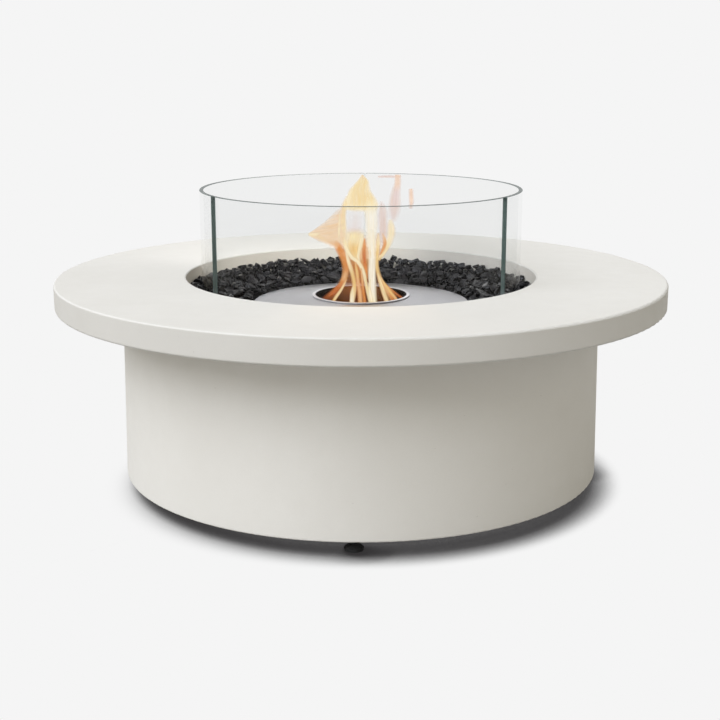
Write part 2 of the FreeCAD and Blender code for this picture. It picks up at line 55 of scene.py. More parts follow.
SLOT_OF = {part["node"]: part["material_slot"] for part in frame["record"]["subparts"]}


def top_of(node):
    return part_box(node)[1].z


def radius_of(node):
    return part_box(node)[1].x


# Camera, fitted to the photograph's 720 pixel frame
FRAME_PIXELS = 720
FOCAL_PIXELS = 1273.6
AXIS_PIXEL = 360.95
SENSOR_MM = 36
CAMERA_DISTANCE = 2.667
CAMERA_HEIGHT = 0.892
CAMERA_PITCH = math.radians(13.594)
CAMERA_TURN = math.radians(1.6)
VIEW_END = 200

# Light: the backdrop as it is seen, the dark studio that metal mirrors behind the camera, and the lamps
BACKDROP_WHITE = (0.913, 0.913, 0.913, 1)
STUDIO_FRONT = (0.10, 0.10, 0.105, 1)
STUDIO_TURN = (-0.45, 0.25)
AMBIENT = (0.545, 0.522, 0.460, 1)
SUN_TOWARDS = Vector((-0.50, -0.48, 0.72))
SUN_STRENGTH = 2.35
SUN_SPREAD = math.radians(50)
SUN_COLOUR = (0.956, 1.0, 1.087)
FRONT_GLOW = {
    "place": (0.012, -0.10, 0.56), "towards": Vector((0.0, -0.33, -0.12)), "watts": 1.6,
    "cone": math.radians(60), "colour": (1.0, 0.68, 0.36),
}
BACK_GLOW = {
    "place": (0.07, -0.03, 0.67), "towards": Vector((-0.26, 0.40, -0.22)), "watts": 7.6,
    "cone": math.radians(90), "colour": (1.0, 0.96, 0.90),
}
GLOW_SIZE = 0.03

# Floor: its shade has a short reach that leans away from the light and a wide one under the drum
FLOOR_SIZE = 120
FLOOR_BOUNCE = (0.42, 0.42, 0.42, 1)
DEEPEST_SHADE = (0.037, 0.035, 0.036, 1)
SHADE_SAMPLES = 24
CONTACT_REACH = 0.070
CONTACT_DEPTH = 1.15
CONTACT_CORE = 0.45
SHADE_LEAN = (-0.64, 0.56, 0.55)
GAP_REACH = 0.9
GAP_DARKEST = 0.05
GAP_OPENS = (0.12, 0.34)

# Sizes of the CAD nodes; the first three can't be read from a box
OPENING = 0.367
RING_BORE = 96.3 * MM
BED_LOW_DEPTH = 23 * MM
TABLE_TOP = top_of("table_top")
PANEL_HALF = math.radians(60)
GLASS_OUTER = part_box("glass_panel_front")[1].x / math.sin(PANEL_HALF)
GLASS_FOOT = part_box("glass_panel_front")[0].z
GLASS_TOP = top_of("glass_panel_front")
CHANNEL_OUTER = radius_of("glass_channel")
COVER_RADIUS = radius_of("burner_cover")
TRAY_WALL = radius_of("charcoal_bed_outer")
TRAY_TOP = top_of("fire_tray")
BED_INNER_END = radius_of("charcoal_bed_inner")
BED_LOW_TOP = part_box("charcoal_bed_inner")[0].z + BED_LOW_DEPTH
BED_HIGH_TOP = top_of("charcoal_bed_outer")


def add(tree, kind, inputs=None, **settings):
    """Adds a shader node; an input is a value or another node's socket."""
    node = tree.nodes.new("ShaderNode" + kind)
    for name, setting in settings.items():
        setattr(node, name, setting)
    for name, given in (inputs or {}).items():
        if isinstance(given, bpy.types.NodeSocket):
            tree.links.new(given, node.inputs[name])
        else:
            node.inputs[name].default_value = given
    return node


def new_material(name):
    material = bpy.data.materials.new(name)
    material.use_nodes = True
    material.node_tree.nodes.clear()
    return material, material.node_tree


def finish_material(tree, surface):
    tree.links.new(surface, add(tree, "OutputMaterial").inputs["Surface"])


def principled(material, tree, inputs):
    """Ends a material with one principled shader."""
    finish_material(tree, add(tree, "BsdfPrincipled", inputs).outputs[0])
    return material


def object_coords(tree):
    return add(tree, "TexCoord").outputs["Object"]


def stretched(tree, coords, scale):
    return add(tree, "Mapping", {"Vector": coords, "Scale": scale}).outputs[0]


def noise(tree, coords, scale, detail=3, roughness=0.5, distortion=0.0):
    node = add(tree, "TexNoise", {
        "Vector": coords,
        "Scale": scale,
        "Detail": detail,
        "Roughness": roughness,
        "Distortion": distortion,
    })
    return node.outputs["Fac"]


def spread_to(tree, fac, low, high, start=0.3, end=0.7):
    """Maps a factor's range, by default the middle of a noise's, to low..high."""
    limits = {"Value": fac, "From Min": start, "From Max": end, "To Min": low, "To Max": high}
    return add(tree, "MapRange", limits, clamp=True).outputs["Result"]


def math_node(tree, operation, first, second=0.0):
    return add(tree, "Math", {0: first, 1: second}, operation=operation).outputs[0]


def mix_colour(tree, fac, first, second, blend="MIX"):
    """Mixes two colours; 6, 7 and 2 are the numbers of the node's colour sockets."""
    node = add(tree, "Mix", {0: fac, 6: first, 7: second}, data_type="RGBA", blend_type=blend)
    return node.outputs[2]


def vary(tree, fac, first, second):
    """Two colours, mixed by the middle range of a noise."""
    return mix_colour(tree, spread_to(tree, fac, 0, 1), first, second)


def split(tree, vector):
    return add(tree, "SeparateXYZ", {"Vector": vector})


def mix_shaders(tree, share, first, second):
    return add(tree, "MixShader", {0: share, 1: first.outputs[0], 2: second.outputs[0]}).outputs[0]


def bump(tree, height, distance, strength=1.0, normal=None):
    inputs = {"Height": height, "Distance": distance, "Strength": strength}
    if normal:
        inputs["Normal"] = normal
    return add(tree, "Bump", inputs).outputs["Normal"]


def seen_directly(tree):
    """The light path, and 1 where the ray comes from the camera, from a mirror or through glass."""
    path = add(tree, "LightPath")
    seen = math_node(tree, "MAXIMUM", path.outputs["Is Camera Ray"], path.outputs["Is Glossy Ray"])
    return path, math_node(tree, "MAXIMUM", seen, path.outputs["Is Transmission Ray"])


def ring_coords(tree, coords):
    """Coordinates of radius and height only: a noise on them is brushed in circles round the axis."""
    apart = split(tree, coords)
    flat = add(tree, "CombineXYZ", {"X": apart.outputs["X"], "Y": apart.outputs["Y"]})
    length = add(tree, "VectorMath", {0: flat.outputs[0]}, operation="LENGTH").outputs["Value"]
    return add(tree, "CombineXYZ", {"X": length, "Z": apart.outputs["Z"]}).outputs[0]


def concrete(name, side_tone, foot_tone=1.0, edge_tone=1.0):
    """Fine cast fibre concrete: faint clouds and mottles, sandy grain and a few tiny pinholes.

    The tones are painted light and shade: they make the sides darker or lighter and warmer than the tops,
    darken the part near the floor and darken the edge of the table's opening.
    """
    material, tree = new_material(name)
    coords = object_coords(tree)
    clouds = noise(tree, coords, 2.6, 4, 0.55, 0.4)
    mottle = noise(tree, coords, 28, 5, 0.6)
    grain = noise(tree, coords, 950, 2, 0.7)
    light = (0.815, 0.806, 0.785, 1)
    dark = (0.760, 0.748, 0.722, 1)
    colour = vary(tree, clouds, light, dark)
    colour = mix_colour(tree, spread_to(tree, mottle, 0.0, 0.35), colour, dark)
    colour = mix_colour(tree, spread_to(tree, grain, 0.0, 0.16, 0.2, 0.8), colour, (0.50, 0.48, 0.44, 1))
    cells = add(tree, "TexVoronoi", {"Vector": coords, "Scale": 75.0})
    chosen = add(tree, "SeparateColor", {"Color": cells.outputs["Color"]}).outputs["Red"]
    rare = spread_to(tree, chosen, 0.0, 0.085, 0.90, 1.0)
    pit = math_node(tree, "LESS_THAN", cells.outputs["Distance"], rare)
    # Painted shade: the pinholes are darkened in colour, besides their bump.
    colour = mix_colour(tree, math_node(tree, "MULTIPLY", pit, 0.45), colour, (0.42, 0.39, 0.35, 1))
    upward = split(tree, add(tree, "NewGeometry").outputs["Normal"]).outputs["Z"]
    # Painted light and shade: faces that don't face up are scaled by side_tone and warmed.
    painted_side_shading = {
        axis: spread_to(tree, upward, side_tone * warmth, 1.0, 0.15, 0.75)
        for axis, warmth in (("X", 1.0), ("Y", 0.982), ("Z", 0.945))
    }
    colour = mix_colour(tree, 1.0, colour, add(tree, "CombineXYZ", painted_side_shading).outputs[0], "MULTIPLY")
    ring = split(tree, ring_coords(tree, coords))
    # Painted shade: the colour darkens by foot_tone towards the floor.
    foot = spread_to(tree, ring.outputs["Z"], foot_tone, 1.0, 0.03, 0.26)
    # Painted shade: the rounded edge of the table's opening is darkened by edge_tone.
    near_edge = spread_to(tree, ring.outputs["X"], 1, 0, OPENING + 2 * MM, OPENING + 5 * MM)
    on_edge = spread_to(tree, ring.outputs["Z"], 0, 1, TABLE_TOP - 4 * MM, TABLE_TOP - 2 * MM)
    edge = math_node(tree, "MULTIPLY", near_edge, on_edge)
    shade = math_node(tree, "MULTIPLY", foot, spread_to(tree, edge, 1.0, edge_tone, 0, 1))
    shading = add(tree, "CombineXYZ", {axis: shade for axis in "XYZ"}).outputs[0]
    colour = mix_colour(tree, 1.0, colour, shading, "MULTIPLY")
    normal = bump(tree, noise(tree, coords, 9, 3), 0.7 * MM, 0.35)
    normal = bump(tree, grain, 0.14 * MM, 0.6, normal)
    normal = bump(tree, math_node(tree, "SUBTRACT", 1.0, pit), 0.6 * MM, 0.8, normal)
    return principled(material, tree, {
        "Base Color": colour,
        "Roughness": spread_to(tree, mottle, 0.66, 0.84),
        "Specular IOR Level": 0.35,
        "Normal": normal,
    })


def brushed_steel(name, dark, light, rough_from, browned_and_shaded_within=None):
    """Stainless steel brushed in circles round the burner's axis; inside a given radius it is painted nearly
    black-brown, as a heat tint and as painted shade in the burner's mouth.
    """
    material, tree = new_material(name)
    coords = object_coords(tree)
    rings = ring_coords(tree, coords)
    lines = noise(tree, rings, 1400, 3, 0.65)
    bands = noise(tree, rings, 90, 3, 0.6)
    smudge = noise(tree, coords, 14, 4, 0.6)
    tint = vary(tree, lines, (*dark, 1), (*light, 1))
    tint = mix_colour(tree, spread_to(tree, bands, 0.0, 0.25), tint, (0.46, 0.45, 0.47, 1))
    if browned_and_shaded_within:
        radius = split(tree, rings).outputs["X"]
        shaded_bore = spread_to(tree, radius, 1, 0, browned_and_shaded_within, browned_and_shaded_within + 1 * MM)
        # Painted shade with a heat tint: inside that radius the steel is nearly black-brown.
        tint = mix_colour(tree, shaded_bore, tint, (0.030, 0.020, 0.014, 1))
    tangent = add(tree, "Tangent", direction_type="RADIAL", axis="Z")
    smudged = spread_to(tree, smudge, rough_from, rough_from + 0.10)
    rough = math_node(tree, "ADD", smudged, spread_to(tree, lines, 0.0, 0.08))
    return principled(material, tree, {
        "Base Color": tint,
        "Metallic": 1.0,
        "Roughness": rough,
        "Anisotropic": 0.55,
        "Tangent": tangent.outputs[0],
        "Normal": bump(tree, lines, 0.02 * MM, 0.5),
    })


def scorched_and_shaded_steel():
    """Stainless steel with a brown heat tint, painted very dark as shade inside the burner's mouth; the tone
    varies in stains.
    """
    material, tree = new_material("scorched_shaded_stainless")
    coords = object_coords(tree)
    stain = noise(tree, coords, 24, 4, 0.6, 0.6)
    fine = noise(tree, coords, 380, 3, 0.6)
    # Painted shade with a heat tint: both tones are nearly black.
    burnt_and_shaded, browned_and_shaded = (0.012, 0.009, 0.007, 1), (0.046, 0.027, 0.017, 1)
    tint = vary(tree, stain, burnt_and_shaded, browned_and_shaded)
    return principled(material, tree, {
        "Base Color": tint,
        "Metallic": 0.8,
        "Roughness": spread_to(tree, stain, 0.34, 0.52),
        "Normal": bump(tree, fine, 0.03 * MM, 0.5),
    })


def sheet_steel():
    """Plain mill-finish stainless sheet, with faint rolling marks and handling smudges."""
    material, tree = new_material("sheet_stainless")
    coords = object_coords(tree)
    smudge = noise(tree, coords, 11, 4, 0.6, 0.5)
    mill = noise(tree, stretched(tree, coords, (1, 30, 30)), 60, 3, 0.6)
    dull, clean = (0.50, 0.50, 0.51, 1), (0.60, 0.60, 0.61, 1)
    tint = vary(tree, smudge, dull, clean)
    return principled(material, tree, {
        "Base Color": tint,
        "Metallic": 1.0,
        "Roughness": spread_to(tree, mill, 0.30, 0.46),
        "Normal": bump(tree, mill, 0.03 * MM, 0.5),
    })


def zinc():
    """Zinc-plated steel: a faint crystal pattern and a cool shine."""
    material, tree = new_material("zinc_fastener")
    coords = object_coords(tree)
    grains = add(tree, "TexVoronoi", {"Vector": coords, "Scale": 420.0})
    tone = add(tree, "SeparateColor", {"Color": grains.outputs["Color"]}).outputs["Green"]
    tint = mix_colour(tree, tone, (0.54, 0.56, 0.58, 1), (0.66, 0.67, 0.69, 1))
    return principled(material, tree, {
        "Base Color": tint, "Metallic": 1.0,
        "Roughness": spread_to(tree, tone, 0.28, 0.42, 0, 1),
        "Normal": bump(tree, noise(tree, coords, 600), 0.03 * MM, 0.5),
    })


def brass():
    """Turned brass with fine turning lines and a little tarnish."""
    material, tree = new_material("brass_insert")
    coords = object_coords(tree)
    upright = stretched(tree, coords, (0.02, 0.02, 1))
    lines = noise(tree, upright, 2500, 2)
    tarnish = noise(tree, coords, 90, 4, 0.6)
    clean, dull = (0.74, 0.56, 0.28, 1), (0.60, 0.44, 0.22, 1)
    tint = vary(tree, tarnish, clean, dull)
    return principled(material, tree, {
        "Base Color": tint, "Metallic": 1.0,
        "Roughness": spread_to(tree, tarnish, 0.25, 0.45),
        "Normal": bump(tree, lines, 0.03 * MM, 0.6),
    })


def soft_black(name, tone, roughness, grain_scale, depth):
    """Black rubber, nylon or blackened steel: a dark tone that varies a little over a fine grain."""
    material, tree = new_material(name)
    coords = object_coords(tree)
    grain = noise(tree, coords, grain_scale, 3, 0.6)
    wear = noise(tree, coords, 60, 4, 0.6)
    dark = (tone * 0.75, tone * 0.75, tone * 0.77, 1)
    light = (tone * 1.5, tone * 1.5, tone * 1.52, 1)
    return principled(material, tree, {
        "Base Color": vary(tree, wear, dark, light),
        "Roughness": spread_to(tree, grain, roughness - 0.08, roughness + 0.08),
        "Normal": bump(tree, grain, depth, 0.7),
    })


def gasket_fibre():
    """Pressed ceramic-fibre sheet: pale, matt and threaded with short fibres."""
    material, tree = new_material("gasket_fibre")
    coords = object_coords(tree)
    fibres = noise(tree, stretched(tree, coords, (1, 6, 1)), 320, 4, 0.7, 1.5)
    between, fibre = (0.70, 0.68, 0.64, 1), (0.82, 0.81, 0.78, 1)
    tint = vary(tree, fibres, between, fibre)
    return principled(material, tree, {
        "Base Color": tint, "Roughness": 0.9, "Sheen Weight": 0.2,
        "Normal": bump(tree, fibres, 0.2 * MM, 0.7),
    })


def pane_shine(tree, front_share, grazing_share):
    """How much a pane reflects, from its share at a straight look to its share at a grazing one."""
    slant = add(tree, "LayerWeight", {"Blend": 0.5}).outputs["Facing"]
    grazing = math_node(tree, "POWER", slant, 5.0)
    return math_node(tree, "ADD", math_node(tree, "MULTIPLY", grazing, grazing_share), front_share)


def clear_glass():
    """Clear tempered glass: the view goes straight through the thin pane and only its shine is added."""
    material, tree = new_material("clear_glass")
    coords = object_coords(tree)
    waves = noise(tree, stretched(tree, coords, (1, 1, 0.35)), 5, 2)
    through = add(tree, "BsdfTransparent", {"Color": (0.973, 0.975, 0.974, 1)})
    shine = add(tree, "BsdfGlossy", {
        "Color": (1, 1, 1, 1), "Roughness": 0.0, "Normal": bump(tree, waves, 0.05 * MM, 0.3),
    })
    finish_material(tree, mix_shaders(tree, pane_shine(tree, 0.009, 0.34), through, shine))
    return material


def glass_edge():
    """Ground and polished glass edges: dark sea green down the seams, greyer along the rims; painted light
    makes the seams lighter grey below the table top, and the seams and rims lighter towards the back.
    """
    material, tree = new_material("glass_edge")
    coords = object_coords(tree)
    facing = split(tree, add(tree, "NewGeometry").outputs["Normal"])
    level = math_node(tree, "ABSOLUTE", facing.outputs["Z"])
    height = split(tree, coords).outputs["Z"]
    # Painted light and shade: the seams are lighter grey below the table top, and seams and rims lighter
    # towards the back than at the front.
    below = spread_to(tree, height, 0, 1, TABLE_TOP - 0.04, TABLE_TOP)
    above = spread_to(tree, height, 0, 1, TABLE_TOP, TABLE_TOP + 0.05)
    low = mix_colour(tree, below, (0.33, 0.36, 0.36, 1), (0.13, 0.175, 0.168, 1))
    seam = mix_colour(tree, above, low, (0.066, 0.108, 0.098, 1))
    far = spread_to(tree, split(tree, coords).outputs["Y"], 0, 1, 0.02, 0.30)
    rim = mix_colour(tree, far, (0.125, 0.131, 0.130, 1), (0.18, 0.19, 0.19, 1))
    seam = mix_colour(tree, far, seam, (0.50, 0.53, 0.53, 1))
    colour = mix_colour(tree, spread_to(tree, level, 0, 1, 0.5, 0.9), seam, rim)
    grind = noise(tree, coords, 900, 2)
    shader = add(tree, "BsdfPrincipled", {
        "Base Color": colour, "Roughness": spread_to(tree, grind, 0.30, 0.48), "IOR": 1.15,
        "Normal": bump(tree, grind, 0.03 * MM, 0.5),
    })
    through = add(tree, "BsdfTransparent", {"Color": (0.75, 0.85, 0.83, 1)})
    finish_material(tree, mix_shaders(tree, 0.86, through, shader))
    return material


def charcoal_glass():
    """Broken black glass: each stone has its own tone and polish, and its faces are finely chipped."""
    material, tree = new_material("black_charcoal_glass")
    coords = object_coords(tree)
    own = add(tree, "Attribute", attribute_name="own_tone")
    apart = add(tree, "SeparateColor", {"Color": own.outputs["Color"]})
    ripples = noise(tree, coords, 95, 1, 0.5, 0.8)
    dust = noise(tree, coords, 420, 2, 0.5)
    darkest, palest = (0.0015, 0.0014, 0.0018, 1), (0.020, 0.0188, 0.0212, 1)
    tint = mix_colour(tree, apart.outputs["Red"], darkest, palest)
    tint = mix_colour(tree, spread_to(tree, dust, 0.0, 0.08, 0.5, 0.8), tint, (0.05, 0.047, 0.052, 1))
    rough = math_node(tree, "ADD", apart.outputs["Green"], spread_to(tree, ripples, -0.05, 0.08))
    return principled(material, tree, {
        "Base Color": tint,
        "Roughness": rough,
        "Specular IOR Level": 0.16,
        "Coat Weight": apart.outputs["Blue"],
        "Coat Roughness": 0.16,
        "Coat IOR": 1.45,
        "Normal": bump(tree, ripples, 0.5 * MM, 0.4),
    })


def flame_material():
    """Burning vapour: its colour and how much it hides are painted along each tongue."""
    material, tree = new_material("flame")
    painted = add(tree, "Attribute", attribute_name="flame_colour")
    flow = add(tree, "Attribute", attribute_name="flame_flow").outputs["Vector"]
    streaks = noise(tree, stretched(tree, flow, (1, 0.10, 1)), 260, 3, 0.55, 0.3)
    streaked = math_node(tree, "MULTIPLY", painted.outputs["Alpha"], spread_to(tree, streaks, 0.70, 1.15))
    veins = noise(tree, stretched(tree, flow, (1, 0.07, 1)), 190, 2, 0.5, 0.4)
    deeper = mix_colour(tree, 1.0, painted.outputs["Color"], (0.98, 0.89, 0.74, 1), "MULTIPLY")
    hue = mix_colour(tree, spread_to(tree, veins, 0.75, 0.0, 0.36, 0.60), painted.outputs["Color"], deeper)
    burning = add(tree, "Emission", {"Color": hue})
    through = add(tree, "BsdfTransparent")
    finish_material(tree, mix_shaders(tree, streaked, through, burning))
    return material


MATERIALS = {
    # Painted shade: the table top's sides are darker than its top, and the edge of its opening darker still.
    "concrete": concrete("concrete", 0.90, edge_tone=0.82),
    "brushed_stainless": brushed_steel("brushed_stainless", (0.53, 0.522, 0.54), (0.66, 0.652, 0.67), 0.26),
    "sheet_stainless": sheet_steel(),
    "zinc_fastener": zinc(),
    "brass_insert": brass(),
    "silicone": soft_black("silicone", 0.02, 0.62, 500, 0.05 * MM),
    "gasket_fibre": gasket_fibre(),
    "black_charcoal_glass": charcoal_glass(),
    "clear_glass": clear_glass(),
    "black_nylon": soft_black("black_nylon", 0.025, 0.52, 900, 0.08 * MM),
    "black_steel": soft_black("black_steel", 0.035, 0.38, 300, 0.03 * MM),
}
FLAME = flame_material()
SCORCHED_AND_SHADED = scorched_and_shaded_steel()
GLASS_EDGE = glass_edge()
OWN_FINISH = {
    # Painted light and shade: the drum's sides are painted lighter than its tops, and its foot darker.
    "base_drum": concrete("drum_concrete", 1.10, foot_tone=0.92),
    # Painted light: the ring is a lighter, rougher copy of the brushed steel, so that its side reads light.
    "mouth_ring": brushed_steel("ring_stainless", (0.74, 0.72, 0.73), (0.88, 0.86, 0.86), 0.46, RING_BORE),
    # Painted shade: the neck and the guard stand in the burner's mouth.
    "burner_neck": SCORCHED_AND_SHADED,
    "flame_guard": SCORCHED_AND_SHADED,
}


def into_scene(name, data):
    """An object of some data, linked to the scene."""
    thing = bpy.data.objects.new(name, data)
    bpy.context.scene.collection.objects.link(thing)
    return thing


def new_piece(name, vertices, faces, material, body):
    """A mesh piece that rides on a body."""
    mesh = bpy.data.meshes.new(name)
    mesh.from_pydata([tuple(v) for v in vertices], [], [tuple(f) for f in faces])
    mesh.materials.append(material)
    mesh.validate()
    piece = into_scene(name, mesh)
    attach(piece, body)
    return piece


def dress_nodes():
    """Gives each CAD node its own finish, or else the material of its slot."""
    for name, node in frame["nodes"].items():
        node.data.materials.clear()
        node.data.materials.append(OWN_FINISH.get(name, MATERIALS[SLOT_OF[name]]))


# Glass screen
GLASS_THICKNESS = 8 * MM
GLASS_ARRIS = 0.8 * MM
GLASS_SEAM = 2 * MM
GLASS_STEPS = 120
GLASS_CREASE = math.radians(20)
GLASS_MERGE = 0.01 * MM
PANE_FACING = 0.9
PANEL_TURNS = {"front": -90, "right": 30, "left": 150}


def glass_panel(side, middle):
    """One bent pane with bevelled arrises all round."""
    inner = GLASS_OUTER - GLASS_THICKNESS
    half = PANEL_HALF - GLASS_SEAM / 2 / GLASS_OUTER
    bevel = GLASS_ARRIS / GLASS_OUTER
    angles = [-half, *np.linspace(-half + bevel, half - bevel, GLASS_STEPS), half]

    def section(inset):
        """The pane's outline across; where it is inset, at the pane's ends, its corners are plain."""
        low, high = GLASS_FOOT + inset, GLASS_TOP - inset
        near, far = inner + inset, GLASS_OUTER - inset
        cut = 0 if inset else GLASS_ARRIS
        return [
            (near, low + cut), (near + cut, low), (far - cut, low), (far, low + cut),
            (far, high - cut), (far - cut, high), (near + cut, high), (near, high - cut),
        ]

    vertices = []
    for n, angle in enumerate(angles):
        at_end = n in (0, len(angles) - 1)
        turn = math.radians(middle) + angle
        for radius, z in section(GLASS_ARRIS if at_end else 0):
            vertices.append((radius * math.cos(turn), radius * math.sin(turn), z))
    corners = 8
    faces = []
    for n in range(len(angles) - 1):
        here, there = n * corners, (n + 1) * corners
        for c in range(corners):
            after = (c + 1) % corners
            faces.append((here + c, here + after, there + after, there + c))
    last = (len(angles) - 1) * corners
    faces.append(tuple(reversed(range(corners))))
    faces.append(tuple(range(last, last + corners)))
    piece = new_piece("glass_pane_" + side, vertices, faces, MATERIALS["clear_glass"], "glass_" + side)
    tidy = bmesh.new()
    tidy.from_mesh(piece.data)
    bmesh.ops.remove_doubles(tidy, verts=tidy.verts, dist=GLASS_MERGE)
    bmesh.ops.recalc_face_normals(tidy, faces=tidy.faces)
    tidy.to_mesh(piece.data)
    tidy.free()
    piece.data.shade_smooth()
    piece.data.set_sharp_from_angle(angle=GLASS_CREASE)
    piece.data.materials.append(GLASS_EDGE)
    for face in piece.data.polygons:
        outward = Vector((face.center.x, face.center.y, 0)).normalized()
        face.material_index = 0 if abs(face.normal.dot(outward)) > PANE_FACING else 1
    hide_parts("glass_panel_" + side)


# Charcoal glass: stones of a few shapes, dropped one by one on a mound and on each other
STONE_SHAPES = 26
STONE_POSES = 8
STONE_POINTS = (11, 17)
STONE_WIDTHS = (0.66, 0.95)
STONE_HEIGHTS = (0.5, 0.78)
STONE_ROUNDNESS = (0.82, 1.0)
STONE_TILT = 0.55
BEVEL_SHARE = 0.03
FACET_ANGLE = math.radians(14)
UPRIGHT = 0.02
CELL = 2 * MM
FIELD_HALF = 0.38
STONE_LAYER = 13 * MM
CLEARANCE = 1 * MM
COVER_GAP = 1.6 * MM
CORE_STEPS = 360
CORE_CELL = 5 * MM
CORE_LUMPS = 2.5 * MM

# Sizes, and patience with the heights round the profile that the tops reach
CHIP_SIZES = (4.5 * MM, 8 * MM)
LARGE_FILL = (260, -9 * MM, 10 * MM)
CHIP_FILL = (160, -16 * MM, -4 * MM)

# Tone and gloss of the stones' facets: mostly dull, a few polished
CORE_FACET = (0.05, 0.6, 0.05, 1)
STONE_TONE = 0.5
FACET_TONE = 0.6
FACET_ROUGHNESS = (0.4, 0.7)
POLISHED_CHANCE = 0.04
DULL_GLOSS = 0.03
GLOSS_RANGE = 0.62
GLOSS_POWER = 2.2


def hull_of(points):
    """The convex hull of points as a bmesh, with nearly flat facets joined."""
    shape = bmesh.new()
    for point in points:
        shape.verts.new(point)
    made = bmesh.ops.convex_hull(shape, input=shape.verts)
    interior = [g for g in made["geom_interior"] if isinstance(g, bmesh.types.BMVert)]
    bmesh.ops.delete(shape, geom=interior, context="VERTS")
    loose = [v for v in shape.verts if not v.link_faces]
    bmesh.ops.delete(shape, geom=loose, context="VERTS")
    bmesh.ops.dissolve_limit(shape, angle_limit=FACET_ANGLE, verts=shape.verts, edges=shape.edges)
    bmesh.ops.recalc_face_normals(shape, faces=shape.faces)
    return shape


def paint_facets(piece, tones):
    """Gives each face of a charcoal piece its own tone, roughness and gloss."""
    own = piece.data.attributes.new("own_tone", "FLOAT_COLOR", "FACE")
    own.data.foreach_set("color", np.array(tones, dtype=np.float32).ravel())


class StoneShape:
    """One broken stone: its planes for packing, and its finely bevelled mesh for the render."""

    def __init__(self, rng, bevelled=True):
        squash = Vector((1, rng.uniform(*STONE_WIDTHS), rng.uniform(*STONE_HEIGHTS)))
        points = []
        for _ in range(rng.randint(*STONE_POINTS)):
            way = Vector((rng.gauss(0, 1), rng.gauss(0, 1), rng.gauss(0, 1))).normalized()
            points.append(way * squash * rng.uniform(*STONE_ROUNDNESS))
        shape = hull_of(points)
        self.planes = [(f.normal.copy(), f.normal.dot(f.calc_center_median())) for f in shape.faces]
        self.corners = [v.co.copy() for v in shape.verts]
        if bevelled:
            bmesh.ops.bevel(shape, geom=shape.edges, offset=BEVEL_SHARE, segments=1, affect="EDGES")
        shape.verts.index_update()
        self.vertices = np.array([v.co for v in shape.verts])
        self.faces = [[v.index for v in f.verts] for f in shape.faces]
        shape.free()


class StonePose:
    """A stone shape at one size and turn, with its lower and upper surfaces on the field's cells."""

    def __init__(self, shape, size, turn):
        self.shape, self.size, self.turn = shape, size, turn
        self.corners = np.array([turn @ (corner * size) for corner in shape.corners])
        reach = int(np.abs(self.corners[:, :2]).max() / CELL) + 1
        steps = np.arange(-reach, reach + 1) * CELL
        x, y = np.meshgrid(steps, steps, indexing="ij")
        self.reach = reach
        self.upper = np.full(x.shape, np.inf)
        self.lower = np.full(x.shape, -np.inf)
        for normal, distance in shape.planes:
            facing = turn @ normal
            if abs(facing.z) < UPRIGHT:
                continue
            height = (distance * size - facing.x * x - facing.y * y) / facing.z
            if facing.z > 0:
                self.upper = np.minimum(self.upper, height)
            else:
                self.lower = np.maximum(self.lower, height)
        self.inside = self.upper > self.lower
        self.tall = self.corners[:, 2].max()


